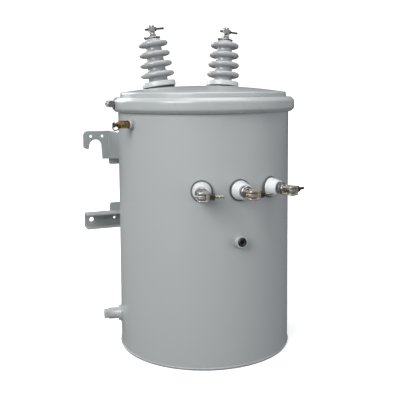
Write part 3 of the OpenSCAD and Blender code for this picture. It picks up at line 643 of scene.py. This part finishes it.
def makeCover():
    low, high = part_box("cover")
    rim, top = high.x, high.z
    stepTop = top - coverLook["domeRise"]
    stepRadius = tankRadius - coverLook["stepInset"]
    ballRadius = (stepRadius ** 2 + coverLook["domeRise"] ** 2) / (2 * coverLook["domeRise"])
    centre = top - ballRadius
    sheet = coverLook["sheet"]
    dome = [(stepRadius * t, centre + math.sqrt(ballRadius ** 2 - (stepRadius * t) ** 2))
            for t in [1 - i / 24 for i in range(25)]]
    outer = [(rim - sheet, low.z + sheet + 0.0095), (rim - sheet, low.z + sheet), (stepRadius, low.z + sheet),
             (stepRadius, stepTop), *dome[1:4]]
    outer = roundOff(outer, {1: 0.002, 2: coverLook["footRound"], 3: coverLook["stepRound"]}, 8)
    outline = [(rim, low.z + sheet + 0.0095), *[(p.x, p.y) for p in outer], *dome[4:]]
    inner = [(max(r - sheet, 0), z - sheet) for r, z in reversed(dome)]
    outline = [(rim, low.z), *outline, *inner, (stepRadius - sheet, low.z)]
    cover = lathe("cover_sheet", outline, "cover_paint", steps=180, closed=True, slot="tank_paint")
    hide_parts("cover")


def makeBand():
    low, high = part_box("cover_band")
    lowZ, topZ = low.z, high.z
    face = max(high.x, high.y)
    sheet = bandLook["sheet"]
    out, drop = bandLook["shoulder"]
    bevel = bandLook["footBevel"]
    lipIn, topIn = tankRadius + 0.0012, tankRadius - 0.005
    outside = [(lipIn, lowZ), (face - bevel, lowZ), (face, lowZ + bevel), (face, topZ - drop),
               (face - out, topZ), (topIn, topZ)]
    inside = [(topIn, topZ - sheet), (face - out - sheet * 0.4, topZ - sheet),
              (face - sheet, topZ - drop - sheet * 0.5),
              (face - sheet, lowZ + bevel + sheet * 0.4), (face - bevel - sheet * 0.4, lowZ + sheet),
              (lipIn, lowZ + sheet)]
    outline = [*[(p.x, p.y) for p in roundOff(outside, {1: 0.006, 2: 0.010, 3: 0.011, 4: 0.006}, 8)],
               *[(p.x, p.y) for p in roundOff(inside, {1: 0.003, 2: 0.008, 3: 0.007, 4: 0.003}, 6)]]
    half = math.degrees(bandLook["gap"] / 2 / face)
    start = bandLook["angle"] - 90 + half
    ring = lathe("band_sheet", outline, "cover_paint", steps=240, start=start, sweep=360 - 2 * half, closed=True,
                 slot="tank_paint")
    mid = boxCentre("band_bolt").z
    place = wallFrame(bandLook["angle"], mid, face - tankRadius)
    lugs = []
    for side in (-1, 1):
        x = side * (bandLook["gap"] + bandLook["lugThick"]) / 2
        thin, tall = bandLook["lugThick"] / 2, bandLook["lugHigh"] / 2
        lugs.append(softBox(f"band_lug_{side}", (x - thin, -tall, -0.0035), (x + thin, tall, bandLook["lugOut"]),
                            bandLook["lugRound"], "cover_paint", place, slot="tank_paint"))
    lugs = joined("band_lugs", lugs)
    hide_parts("cover_band")
    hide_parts("cover_band")
    makeBandBolt(place)


boltLook = {"diameter": 0.012, "pitch": 0.00175, "out": 0.0095, "head": 0.019, "headHigh": 0.008,
            "nutHigh": 0.010, "tail": 0.012, "seat": 0.0002}


def makeBandBolt(place):
    grip = bandLook["gap"] / 2 + bandLook["lugThick"] + boltLook["seat"]
    nutHigh, wide = boltLook["nutHigh"], boltLook["head"]
    axis, turn = place @ moved(0, 0, boltLook["out"]) @ alongX, Matrix.Rotation(math.pi / 6, 4, "Z")
    head = hexNut("bolt_head", wide, boltLook["headHigh"], 0.0002, "bolt_steel", axis @ moved(0, 0, grip) @ turn,
                  bothEnds=False)
    nut = hexNut("bolt_nut", wide, nutHigh, boltLook["diameter"] - 0.0004, "bolt_steel",
                 axis @ moved(0, 0, -grip - nutHigh) @ turn)
    length = 2 * grip + nutHigh + boltLook["tail"] + boltLook["headHigh"] / 2
    rod = threadRod("bolt_rod", boltLook["diameter"], length, boltLook["pitch"], "bolt_steel",
                    axis @ moved(0, 0, -grip - nutHigh - boltLook["tail"]))
    bolt = joined("band_bolt_set", [head, nut, rod])
    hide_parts("band_bolt")


makeCover()
makeBand()
print("cover and band made")


hvLook = {"sheds": 4, "pitch": 0.032, "first": 0.023, "shedWide": 0.105, "shedStep": 0.0043,
          "shedThick": 0.0142, "shedRoot": 0.0032, "coreFoot": 0.060, "coreHead": 0.046, "ringWide": 0.105,
          "ringHigh": 0.016, "ringHole": 0.0606, "capWide": 0.047, "capHigh": 0.008, "screwWide": 0.007,
          "bodyWide": 0.020, "bodyDeep": 0.022, "bodyHigh": 0.036, "crown": 0.0045, "leadAt": 0.010,
          "leadHole": 0.009, "boltAt": 0.022, "stud": 0.007, "studPitch": 0.00125, "studBack": 0.020,
          "studFront": 0.043, "nut": 0.013, "nutHigh": 0.007}


def hvShed(i, z, coreAt):
    # one shed: a round rim, and both faces sloping a little to a tight fillet at the core
    r = (hvLook["shedWide"] - i * hvLook["shedStep"]) / 2
    b, root = hvLook["shedThick"] / 2, hvLook["shedRoot"]
    low, high = coreAt(z - b - root), coreAt(z + b + root)
    rim = arc(b, r - b, z, -76, 72, 14)
    foot, head = z - b - root, z + b + root
    under = [(low, foot - 0.0010), (low + 0.0004, foot - 0.0003), (low + 0.0016, foot + 0.0003),
             (r - b - 0.006, z - b - 0.0004)]
    over = [(r - b - 0.007, z + b + 0.0008), (high + 0.004, z + b + root * 0.9), (high + 0.0010, head + 0.0004),
            (high, head + 0.0014)]
    return [*under, *rim, *over]


def makeHvBushing(side):
    tag = "left" if side < 0 else "right"
    ringAt, capAt = boxCentre("hv_clamp_ring_" + tag), boxCentre("hv_cap_" + tag)
    axis = (capAt - ringAt).normalized()
    swing = Vector((0, 0, 1)).rotation_difference(axis)
    place = Matrix.Translation(ringAt) @ swing.to_matrix().to_4x4()
    half = hvLook["ringHigh"] / 2
    neckTop = (capAt - ringAt).length - hvLook["capHigh"] / 2

    def coreAt(z):
        t = min(max((z - half) / (neckTop - half), 0), 1)
        return (hvLook["coreFoot"] + (hvLook["coreHead"] - hvLook["coreFoot"]) * t) / 2

    outline = [(0.0, -half), (0.040, -half), (0.041, -half + 0.001), (0.041, -0.002), (coreAt(0), 0.0),
               (coreAt(half), half)]
    for i in range(hvLook["sheds"]):
        outline += hvShed(i, half + hvLook["first"] + i * hvLook["pitch"], coreAt)
    top = hvLook["coreHead"] / 2
    outline += [(top, neckTop - 0.004), (top - 0.0012, neckTop - 0.0012), (top - 0.004, neckTop), (0.0, neckTop)]
    porcelain = lathe("hv_porcelain_" + tag, outline, "hv_porcelain", place, steps=128, sharpAngle=50)
    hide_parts("hv_bushing_" + tag)

    r, hole = hvLook["ringWide"] / 2, hvLook["ringHole"] / 2
    ringLine = [(hole, half - 0.001), (hole + 0.001, half), (r - 0.0022, half), (r - 0.0007, half - 0.0007),
                (r, half - 0.0022), (r, -half + 0.0015), (r - 0.0015, -half), (hole + 0.012, -half), (hole, 0.0)]
    ring = lathe("hv_ring_" + tag, ringLine, "clamp_ring_metal", place, steps=128, closed=True)
    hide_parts("hv_clamp_ring_" + tag)
    makeHvTop(tag, place, neckTop)


def makeHvTop(tag, place, neckTop):
    r, high = hvLook["capWide"] / 2, hvLook["capHigh"]
    flange = [(0.0, 0.0), (r - 0.0006, 0.0), (r, 0.0006), (r, 0.0024), (r - 0.0006, 0.003), (0.0, 0.003)]
    capFoot = place @ moved(0, 0, neckTop)
    parts = [lathe("cap_flange", flange, "dark_tin", capFoot, steps=96, slot="tinned_metal")]
    for way in (-1, 1):  # a clamping screw with a domed head on either side
        w = hvLook["screwWide"] / 2
        head = [(0.0, -0.004), (w * 0.8, -0.004), (w, -0.001), (w, 0.0022), (w * 0.72, 0.0034), (0.0, 0.0038)]
        turn = Matrix.Rotation(way * math.pi / 2, 4, "Y") @ moved(0, 0, r)
        parts.append(lathe("cap_screw", head, "dark_tin", capFoot @ moved(0, 0, high / 2 - 0.0004) @ turn, steps=32,
                           slot="tinned_metal"))
    flange = joined("hv_cap_flange_" + tag, parts)
    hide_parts("hv_cap_" + tag)
    cone = [(0.0, 0.003), (r - 0.0015, 0.003), (r - 0.002, 0.0042), (0.0150, 0.0066), (0.0128, high - 0.0002),
            (0.0, high - 0.0002)]
    cone = lathe("hv_cap_cone_" + tag, cone, "tinned_metal", capFoot, steps=96)
    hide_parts("hv_cap_" + tag)

    # terminal: an eye for the lead with a ribbed round head and shoulders for the stud
    bodyAt = capFoot @ moved(0, 0, high)
    w, high, deep = hvLook["bodyWide"] / 2, hvLook["bodyHigh"], hvLook["bodyDeep"]
    upright = bodyAt @ tippedUp
    notch, floor = hvLook["crown"] / 2, high - 0.0075
    foot = [(w * 1.1, 0.003), (w * 0.88, 0.006), (w * 0.94, 0.015)]
    outer = [(-w * 1.1, 0.0), (w * 1.1, 0.0), *foot, *arc(w, 0, high - w, -20, 74, 12), (notch, high - 0.0012),
             (notch, floor), (notch * 0.5, floor - 0.001), (-notch * 0.5, floor - 0.001), (-notch, floor),
             (-notch, high - 0.0012), *arc(w, 0, high - w, 106, 200, 12), *[(-x, y) for x, y in reversed(foot)]]
    hole = arc(hvLook["leadHole"] / 2, 0, hvLook["leadAt"], 0, 360, 28)[:-1]
    parts = [platedOutline("hv_eye_" + tag, outer, hole, deep, 0.0014, "tinned_metal", upright)]
    for degrees in (2, 22, 42, 62, 118, 138, 158, 178):  # ribs over the two halves of the head
        t = math.radians(degrees)
        at = upright @ moved(w * math.cos(t), high - w + w * math.sin(t), 0) @ Matrix.Rotation(t, 4, "Z")
        parts.append(softBox("rib", (-0.0018, -0.0010, -deep / 2 + 0.0015), (-0.0001, 0.0010, deep / 2 - 0.0015),
                             0.0004, "tinned_metal", at))
    for way in (-1, 1):
        boss = [(0.0, 0.0), (0.0062, 0.0), (0.0062, 0.0016), (0.0054, 0.0024), (0.0, 0.0024)]
        turn = bodyAt @ moved(0, 0, hvLook["boltAt"]) @ Matrix.Rotation(way * math.pi / 2, 4, "Y")
        parts.append(lathe("boss", boss, "tinned_metal", turn @ moved(0, 0, w - 0.0022), steps=32))
    body = joined("hv_clamp_" + tag, parts)
    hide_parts("hv_terminal_" + tag)

    studAt = bodyAt @ moved(-hvLook["studBack"], 0, hvLook["boltAt"]) @ alongX
    length = hvLook["studBack"] + hvLook["studFront"]
    rod = threadRod("hv_rod_" + tag, hvLook["stud"], length, hvLook["studPitch"], "dark_stud", studAt,
                    slot="stud_metal")
    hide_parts("hv_stud_" + tag)
    nutAt = bodyAt @ moved(w + 0.0002, 0, hvLook["boltAt"]) @ alongX
    nut = hexNut("hv_nut_" + tag, hvLook["nut"], hvLook["nutHigh"], hvLook["stud"] - 0.0003, "dark_stud", nutAt,
                 slot="stud_metal")
    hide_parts("hv_stud_" + tag)


def platedOutline(name, outer, hole, thick, edge, finish, place, **more):
    # an outline with one hole, thick along Z, its outer and inner rims rounded
    half = thick / 2
    rounds = [(-half, edge), (-half + edge * 0.3, edge * 0.3), (-half + edge, 0.0), (half - edge, 0.0),
              (half - edge * 0.3, edge * 0.3), (half, edge)]
    area = sum(outer[i - 1][0] * outer[i][1] - outer[i][0] * outer[i - 1][1] for i in range(len(outer)))
    bm = bmesh.new()
    for points, inward in ((outer, 1 if area > 0 else -1), (hole, -1)):
        n, loops = len(points), []
        for z, inset in rounds:
            loop = []
            for i, p in enumerate(points):
                along = Vector(points[(i + 1) % n]) - Vector(points[i - 1])
                q = Vector(p) - Vector((along.y, -along.x)).normalized() * inset * inward
                loop.append(bm.verts.new((q.x, q.y, z)))
            loops.append(loop)
        for a, b in zip(loops, loops[1:]):
            for i in range(n):
                bm.faces.new((a[i], a[(i + 1) % n], b[(i + 1) % n], b[i]))
    # the two flat faces are filled by triangulating between the rims
    for z in (-half, half):
        rims = [e for e in bm.edges if all(abs(v.co.z - z) < 1e-9 for v in e.verts)]
        bmesh.ops.triangle_fill(bm, use_beauty=True, edges=rims)
    bm.verts.index_update()
    verts = [v.co.copy() for v in bm.verts]
    faces = [tuple(v.index for v in f.verts) for f in bm.faces]
    bm.free()
    return addPiece(name, verts, faces, finish, place, **more)


for side in (-1, 1):
    makeHvBushing(side)
print("high voltage bushings made")


lvLook = {"footWide": 0.054, "frontWide": 0.043, "long": 0.033, "seal": 0.003, "recess": 0.031,
          "recessDeep": 0.003, "washer": 0.029, "nut": 0.025, "nutHigh": 0.006, "nutBore": 0.0145,
          "collar": 0.034, "bodyLong": 0.050, "armThick": 0.0068, "padGap": 0.0016, "bodyLow": 0.0105,
          "barrel": 0.026, "bodyWide": 0.023, "bodyHigh": 0.029, "bodyDrop": 0.004, "leadAt": 0.022,
          "leadHole": 0.012, "boltAt": 0.037, "boltDrop": 0.003, "stud": 0.008, "studBack": 0.017,
          "studFront": 0.061, "sideNut": 0.017, "sideNutHigh": 0.013, "sideWasher": 0.0018, "pitch": 0.0014}
lvFinish = {"left": "tinned_metal", "middle": "copper_bronze", "right": "olive_bronze"}
lvStud = {"left": "bright_stud", "middle": "stud_metal", "right": "dark_stud"}


def makeLvBushing(tag):
    angle = math.degrees(math.atan2(mounts["lv_lead_" + tag]["pos_m"][0], -mounts["lv_lead_" + tag]["pos_m"][1]))
    place = wallFrame(angle, boxCentre("lv_bushing_" + tag).z)
    foot, front = lvLook["footWide"] / 2, lvLook["frontWide"] / 2
    base, top = lvLook["seal"], lvLook["seal"] + lvLook["long"]
    cup = lvLook["recess"] / 2
    line = [(0.0, base), (foot - 0.002, base), (foot, base + 0.002), (foot - 0.0004, base + 0.006),
            (front, top - 0.004), (front, top), (cup, top), (cup, top - lvLook["recessDeep"]),
            (0.0, top - lvLook["recessDeep"])]
    line = roundOff(line, {1: 0.0015, 2: 0.0025, 3: 0.004, 4: 0.006, 5: 0.0042, 6: 0.001, 7: 0.0004}, 7)
    porcelain = lathe("lv_porcelain_" + tag, [(p.x, p.y) for p in line], "lv_porcelain", place, steps=96)
    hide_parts("lv_bushing_" + tag)

    r = lvLook["washer"] / 2
    wash = [(0.0, 0.0), (r - 0.0004, 0.0), (r, 0.0004), (r, 0.0024), (r - 0.0008, 0.003), (0.0, 0.003)]
    at = place @ moved(0, 0, top - lvLook["recessDeep"])
    parts = [lathe("washer", wash, "bolt_steel", at, steps=64),
             hexNut("nut", lvLook["nut"], lvLook["nutHigh"], lvLook["nutBore"], "bolt_steel",
                    place @ moved(0, 0, top))]
    nut = joined("lv_lock_nut_" + tag, parts)
    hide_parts("lv_nut_" + tag)
    makeLvTerminal(tag, place @ moved(0, 0, top))


def barrelled(piece, place, mid, centre):
    # draws the casting in towards its two ends, so that it looks round from the front
    back = place.inverted()
    for v in piece.data.vertices:
        p = back @ v.co
        p.y = mid + (p.y - mid) * math.sqrt(max(0.1, 1 - ((p.x - centre) / lvLook["barrel"]) ** 2))
        v.co = place @ p


def makeLvTerminal(tag, place):
    finish, slot = lvFinish[tag], slotOf["lv_terminal_" + tag]
    seat, mid, tall = lvLook["nutHigh"], -lvLook["bodyDrop"], lvLook["bodyHigh"] / 2
    low, wide, long, arm = lvLook["bodyLow"], lvLook["bodyWide"], lvLook["bodyLong"], lvLook["armThick"]
    c = lvLook["collar"] / 2
    collar = [(0.0, 0.0), (c - 0.0012, 0.0), (c, 0.0012), (c, 0.0042), (c - 0.0022, 0.0062), (0.0118, 0.0064),
              (0.0108, 0.0076), (0.0104, 0.012), (0.0, 0.012)]
    collar = lathe("lv_collar_" + tag, collar, "bolt_steel", place @ moved(0, 0, seat), steps=72, slot=slot)
    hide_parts("lv_terminal_" + tag)
    # two arms with the lead's hole, closed by a back wall and by a column on the stud's side
    corners = [(-low, seat + 0.008), (wide, seat + 0.008), (wide, long), (-low, long)]
    rounds = {1: 0.005, 2: 0.004, 3: 0.007, 4: 0.0095}
    outer = [(p[0], p[1]) for p in roundOff([corners[-1], *corners, corners[0]], rounds, 7)][1:-1]
    hole = arc(lvLook["leadHole"] / 2, 0, lvLook["leadAt"], 0, 360, 32)[:-1]
    parts = []
    for way in (-1, 1):
        flat = place @ moved(0, mid + way * (tall - arm / 2), 0) @ tippedUp
        parts.append(platedOutline("arm", outer, hole, arm, 0.0022, finish, flat, slot=slot))
    parts.append(softBox("back_wall", (-low + 0.003, mid - tall + 0.002, seat + 0.0082),
                         (wide - 0.002, mid + tall - 0.002, seat + 0.0125), 0.0015, finish, place, slot=slot))
    parts.append(softBox("column", (wide - 0.0105, mid - tall + 0.0012, seat + 0.0085),
                         (wide, mid + tall - 0.0012, long - 0.0015), 0.0032, finish, place, slot=slot))
    for way, x in ((-1, -low), (1, wide)):  # round shoulders that carry the stud
        boss = [(0.0, -0.0060), (0.0078, -0.0060), (0.0078, -0.0012), (0.0068, 0.0), (0.0, 0.0)]
        at = place @ moved(x, -lvLook["boltDrop"], lvLook["boltAt"]) @ Matrix.Rotation(way * math.pi / 2, 4, "Y")
        parts.append(lathe("shoulder", boss, finish, at, steps=40, slot=slot))
    clamp = joined("lv_clamp_" + tag, parts)
    barrelled(clamp, place, mid, (wide - low) / 2)
    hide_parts("lv_terminal_" + tag)
    # the pad that the stud presses on the lead, with a dark gap above and below
    inside = tall - arm - lvLook["padGap"]
    pad = [softBox("pad", (-low + 0.0008, mid - inside, long - 0.0215),
                   (wide - 0.0112, mid + inside, long - 0.0022), 0.0030, finish, place, slot=slot)]
    for way in (-1, 1):
        y = mid + way * inside * 0.42
        pad.append(softBox("pad_rib", (-low + 0.004, y - 0.0012, long - 0.0030),
                           (wide - 0.016, y + 0.0012, long - 0.0008), 0.0008, finish, place, slot=slot))
    pad = joined("lv_pad_" + tag, pad)
    barrelled(pad, place, mid, (wide - low) / 2)
    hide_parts("lv_terminal_" + tag)

    axis = place @ moved(0, -lvLook["boltDrop"], lvLook["boltAt"])
    length = lvLook["studBack"] + lvLook["studFront"]
    rod = threadRod("lv_rod_" + tag, lvLook["stud"], length, lvLook["pitch"], lvStud[tag],
                    axis @ moved(-lvLook["studBack"], 0, 0) @ alongX, slot="stud_metal")
    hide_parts("lv_stud_" + tag)
    at = axis @ moved(wide + 0.0002, 0, 0) @ alongX
    thick = lvLook["sideWasher"]
    washer = lathe("side_washer", [(0.004, 0.0), (0.0088, 0.0), (0.0088, thick), (0.004, thick)], "nut_bronze", at,
                   steps=40, closed=True, slot="stud_metal")
    nut = hexNut("side_nut", lvLook["sideNut"], lvLook["sideNutHigh"] - thick, lvLook["stud"] - 0.0003,
                 "nut_bronze", at @ moved(0, 0, thick), slot="stud_metal")
    nut = joined("lv_side_nut_" + tag, [nut, washer])
    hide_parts("lv_stud_" + tag)


for tag in ("left", "middle", "right"):
    makeLvBushing(tag)
print("low voltage bushings made")


fittingLook = {"levelBead": 0.0022, "levelBore": 0.025, "levelPlug": 0.024, "plugProud": 0.002,
               "socketWide": 0.011, "reliefBead": 0.0018, "reliefWide": 0.027, "reliefBore": 0.0156,
               "valveOut": 0.0122, "valveHex": 0.019, "knurl": 0.0005, "discAt": 0.0453, "ringWire": 0.0034,
               "ringWide": 0.0168, "ringTurns": 1.12, "ringTurn": 62, "ringLift": 0.0013, "drainBead": 0.0026,
               "plugWide": 0.025, "plugHigh": 0.0135, "plugAt": 0.0397}


def makeLevelPlug():
    low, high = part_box("level_boss")
    height, r = (low.z + high.z) / 2, (high.x - low.x) / 2
    out, bore = -low.y - tankRadius, fittingLook["levelBore"] / 2
    place = wallFrame(0, height)
    line = [(bore, out - 0.014), (bore, out - 0.0012), (bore + 0.001, out), (r - 0.0025, out),
            (r - 0.0007, out - 0.0007), (r, out - 0.0025), (r, -0.002), (bore, -0.002)]
    boss = lathe("level_boss_ring", line, "tank_paint", place, steps=80, closed=True)
    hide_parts("level_boss")
    weldBead("level_weld", ringOnWall(0, height, r + 0.001, 0.0002, 56), fittingLook["levelBead"])
    # black plug with a hexagon socket
    pr, face = fittingLook["levelPlug"] / 2, out + fittingLook["plugProud"]

    def section(i, a):
        socket = hexRadius(fittingLook["socketWide"], a)
        return [(pr, face - 0.012), (pr, face - 0.0014), (pr - 0.0014, face), (socket + 0.0012, face),
                (socket, face - 0.0012), (socket, face - 0.009), (0.0, face - 0.0102)]

    plug = lathe("level_plug_iron", section, "black_iron", place, steps=72, sharpAngle=28)
    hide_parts("level_plug")


def makeReliefValve():
    angle = wallAngle("relief_valve")
    height = boxCentre("relief_valve").z
    place = wallFrame(angle, height)
    r, bore, out = fittingLook["reliefWide"] / 2, fittingLook["reliefBore"] / 2, fittingLook["valveOut"]
    line = [(bore, 0.012), (r - 0.0015, 0.012), (r, 0.0105), (r, -0.002), (bore, -0.002)]
    boss = lathe("relief_coupling", line, "tank_paint", place, steps=64, closed=True)
    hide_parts("relief_boss")
    weldBead("relief_weld", ringOnWall(angle, height, r + 0.0008, 0.0002, 44), fittingLook["reliefBead"])
    # hexagon at the thread, knurled barrel with its grooves, cone, stem and end disc
    seat = place @ moved(0, 0, out)
    rows = [(0.0100, 0.0088), (0.0100, 0.0098), (0.0110, 0.0104), (0.0110, 0.0225), (0.0102, 0.0232),
            (0.0102, 0.0246), (0.0110, 0.0252), (0.0110, 0.0300), (0.0092, 0.0320), (0.0080, 0.0350),
            (0.0060, 0.0388), (0.0026, 0.0392), (0.0026, 0.0452), (0.0074, 0.0453), (0.0077, 0.0460),
            (0.0077, 0.0480), (0.0066, 0.0492), (0.0, 0.0492)]

    def section(i, a):
        knurl = fittingLook["knurl"] * (i % 2)
        return [(rr - (knurl if k in (2, 3, 6, 7) else 0.0), z) for k, (rr, z) in enumerate(rows)]

    valve = joined("relief_valve_brass", [
        hexNut("valve_hex", fittingLook["valveHex"], 0.009, 0.002, "valve_brass", seat),
        lathe("valve_barrel", section, "valve_brass", seat, steps=96, sharpAngle=30)])
    valve.data.materials.append(materials["nut_bronze"])
    outward = place.to_3x3() @ Vector((0, 0, 1))
    tip = seat @ Vector((0, 0, fittingLook["discAt"]))
    for face in valve.data.polygons:  # the end disc is darker
        if (face.center - tip).dot(outward) > 0:
            face.material_index = 1
    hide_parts("relief_valve")
    # the pull ring hangs nearly edge on and its ends overlap
    wire, rr, turns = fittingLook["ringWire"] / 2, fittingLook["ringWide"] / 2, fittingLook["ringTurns"]
    sideways = Vector((math.cos(math.radians(angle)), math.sin(math.radians(angle)), 0))
    local = frameOf(boxCentre("relief_pull_ring"), outward, sideways)
    local = local @ Matrix.Rotation(math.radians(fittingLook["ringTurn"]), 4, "Y")
    n, around, verts = 90, 10, []
    for i in range(n):
        t = math.radians(200) + 2 * math.pi * turns * i / (n - 1)
        centre = Vector((rr * math.cos(t), rr * math.sin(t), fittingLook["ringLift"] * (i / (n - 1) - 0.5)))
        radial = Vector((math.cos(t), math.sin(t), 0))
        verts += [centre + radial * x + Vector((0, 0, z)) for x, z in arc(wire, 0, 0, 0, 360, around)[:-1]]
    ring = addPiece("pull_ring_wire", verts, tubeFaces(n, around), "dark_wire", local)
    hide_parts("relief_pull_ring")


def makeDrain():
    low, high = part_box("drain_pipe")
    angle, height = wallAngle("drain_pipe"), (low.z + high.z) / 2
    place = wallFrame(angle, height)
    line = [(0.0128, 0.040), (0.0150, 0.0402), (0.0165, 0.0388), (0.0165, 0.010), (0.0172, 0.009), (0.0215, 0.0088),
            (0.0225, 0.0075), (0.0225, -0.004), (0.0128, -0.004)]
    pipe = lathe("drain_coupling", line, "tank_paint", place, steps=80, closed=True)
    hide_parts("drain_pipe")
    weldBead("drain_weld", ringOnWall(angle, height, 0.0232, 0.0002, 60), fittingLook["drainBead"])
    plugLine = [(0.0, 0.027), (0.0118, 0.027), (0.0120, 0.0415), (0.0112, 0.0425), (0.0, 0.0425)]
    parts = [lathe("plug_body", plugLine, "tank_paint", place, steps=64),
             hexNut("plug_head", fittingLook["plugWide"], fittingLook["plugHigh"], 0.0002, "tank_paint",
                    place @ moved(0, 0, fittingLook["plugAt"]))]
    plug = joined("drain_plug_head", parts)
    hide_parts("drain_plug")


makeLevelPlug()
makeReliefValve()
makeDrain()
print("fittings made")


hangerLook = {"bead": 0.0032, "lump": 0.0052, "lumpBack": 0.134, "lumpStep": 0.0026, "lumpUp": 0.0065}


def dressHangers():
    # beads where each bracket's leg meets the wall, inside and outside of the leg
    for side, tag in ((-1, "left"), (1, "right")):
        low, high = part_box("hook_bracket_" + tag)
        inner = low.x if side > 0 else high.x
        for edge, x in (("outer", abs(inner) + 0.0062), ("inner", abs(inner) - 0.0002)):
            y = math.sqrt(tankRadius ** 2 - x ** 2)
            z0 = low.z + 0.024
            points = [Vector((side * x, y, z0 + (high.z - 0.006 - z0) * i / 60)) for i in range(61)]
            weldBead(f"hanger_weld_{tag}_{edge}", points, hangerLook["bead"], closed=False, ripple=0.22)
        # a heavy lump of weld closes the leg's lower corner
        x = abs(inner) + 0.0055
        lump = [Vector((side * (x - 0.0004 * k), hangerLook["lumpBack"] + hangerLook["lumpStep"] * k,
                        low.z + hangerLook["lumpUp"] + 0.0007 * (k % 3))) for k in range(12)]
        weldBead(f"hanger_lump_{tag}", lump, hangerLook["lump"], closed=False, ripple=0.30)


dressHangers()
print("hangers dressed")


# nodes that show as they come from CAD take their slot's finish
shown = {name: "worn_rubber" if name.startswith("lv_gasket") else slotOf[name] for name in nodes}
for name, node in nodes.items():
    node.data.materials.clear()
    node.data.materials.append(materials[shown[name]])


studio = {"floorSeen": (0.92, 0.92, 0.92), "floorLight": (0.15, 0.155, 0.16), "floorGlow": 0.42,
          "roomLight": 0.30, "roomTint": (0.93, 0.97, 1.0)}


def makeStudio():
    # the floor and the room look white, but send less light back than they show
    floorMaterial = bpy.data.materials.new("studio_floor")
    floorMaterial.use_nodes = True
    w = Wiring(floorMaterial.node_tree)
    shader = floorMaterial.node_tree.nodes["Principled BSDF"]
    place = w.put("ShaderNodeTexCoord").outputs["Object"]
    seen = w.put("ShaderNodeLightPath").outputs["Is Camera Ray"]
    grain = w.mix(noise(w, place, 3.0), (*studio["floorSeen"], 1), (0.90, 0.90, 0.90, 1))
    w.feed(shader, "Base Color", w.mix(seen, (*studio["floorLight"], 1), grain))
    reach = w.put("ShaderNodeVectorMath", {"operation": "LENGTH"})
    w.feed(reach, "0", place)
    glow = w.ramp(reach.outputs["Value"], studio["floorGlow"], 1.0, 0.5, 2.6)
    w.feed(shader, "Emission Strength", w.math("MULTIPLY", seen, glow))
    shader.inputs["Emission Color"].default_value = (1, 1, 1, 1)
    shader.inputs["Roughness"].default_value = 0.8
    mesh = bpy.data.meshes.new("floor")
    verts, faces, rows = [], [], 24
    for i in range(rows + 1):  # flat in front, curving up behind
        y = -7 + 18 * i / rows
        z = 0.0 if y < 5 else (y - 5) ** 2 * 0.12
        verts += [(-10, y, z), (10, y, z)]
        if i:
            faces.append((2 * i - 2, 2 * i - 1, 2 * i + 1, 2 * i))
    mesh.from_pydata(verts, [], faces)
    for face in mesh.polygons:
        face.use_smooth = True
    floor = bpy.data.objects.new("floor", mesh)
    floor.data.materials.append(floorMaterial)
    bpy.context.scene.collection.objects.link(floor)
    world = bpy.data.worlds.new("studio_world")
    world.use_nodes = True
    w = Wiring(world.node_tree)
    sky = world.node_tree.nodes["Background"]
    seen = w.put("ShaderNodeLightPath").outputs["Is Camera Ray"]
    w.feed(sky, "Color", w.mix(seen, (*studio["roomTint"], 1), (1, 1, 1, 1)))
    w.feed(sky, "Strength", w.math("ADD", w.math("MULTIPLY", seen, 1 - studio["roomLight"]), studio["roomLight"]))
    bpy.context.scene.world = world
    bpy.context.scene.view_settings.view_transform = "Standard"


lights = {
    "key": {"at": (-2.55, -1.75, 2.15), "aim": (0, 0, 0.30), "size": (2.2, 2.2), "power": 108,
            "tint": (1.0, 1.0, 0.99)},
    "over": {"at": (0.2, -0.5, 3.1), "aim": (0, 0, 0.8), "size": (2.2, 1.8), "power": 40,
             "tint": (0.99, 0.99, 1.0)},
    "fill": {"at": (2.6, -2.7, 0.8), "aim": (0, 0, 0.30), "size": (2.6, 2.6), "power": 52,
             "tint": (0.99, 0.99, 1.0), "mirrored": False},  # no streak on the paint
    "back": {"at": (-1.5, 2.8, 1.8), "aim": (0, 0, 0.40), "size": (2.0, 2.0), "power": 52, "tint": (1.0, 1.0, 1.0)},
}


def makeLights():
    for name, look in lights.items():
        data = bpy.data.lights.new(name, "AREA")
        data.shape = "RECTANGLE"
        data.size, data.size_y = look["size"]
        data.energy = look["power"]
        data.color = look["tint"]
        lamp = bpy.data.objects.new(name, data)
        lamp.location = look["at"]
        lamp.rotation_mode = "QUATERNION"
        lamp.rotation_quaternion = (Vector(look["aim"]) - Vector(look["at"])).to_track_quat("-Z", "Y")
        lamp.visible_glossy = look.get("mirrored", True)
        bpy.context.scene.collection.objects.link(lamp)


cameraLook = {"turn": 22.2, "away": 1.977, "height": 0.772, "pitch": 5.0, "lens": 57.68,
              "shift": (-0.0086, -0.1311), "roll": -0.34}


def makeCamera():
    data = bpy.data.cameras.new("camera")
    data.sensor_width = 36
    data.lens = cameraLook["lens"]
    data.shift_x, data.shift_y = cameraLook["shift"]
    camera = bpy.data.objects.new("camera", data)
    a = math.radians(cameraLook["turn"])
    camera.location = (-math.sin(a) * cameraLook["away"], -math.cos(a) * cameraLook["away"], cameraLook["height"])
    level = Vector((math.sin(a), math.cos(a), 0))
    down = math.radians(cameraLook["pitch"])
    look = level * math.cos(down) + Vector((0, 0, -math.sin(down)))
    turn = look.to_track_quat("-Z", "Y")
    camera.rotation_mode = "QUATERNION"
    camera.rotation_quaternion = turn @ Quaternion((0, 0, 1), math.radians(cameraLook["roll"]))
    bpy.context.scene.collection.objects.link(camera)
    bpy.context.scene.camera = camera


makeStudio()
makeLights()
makeCamera()
print("studio ready")
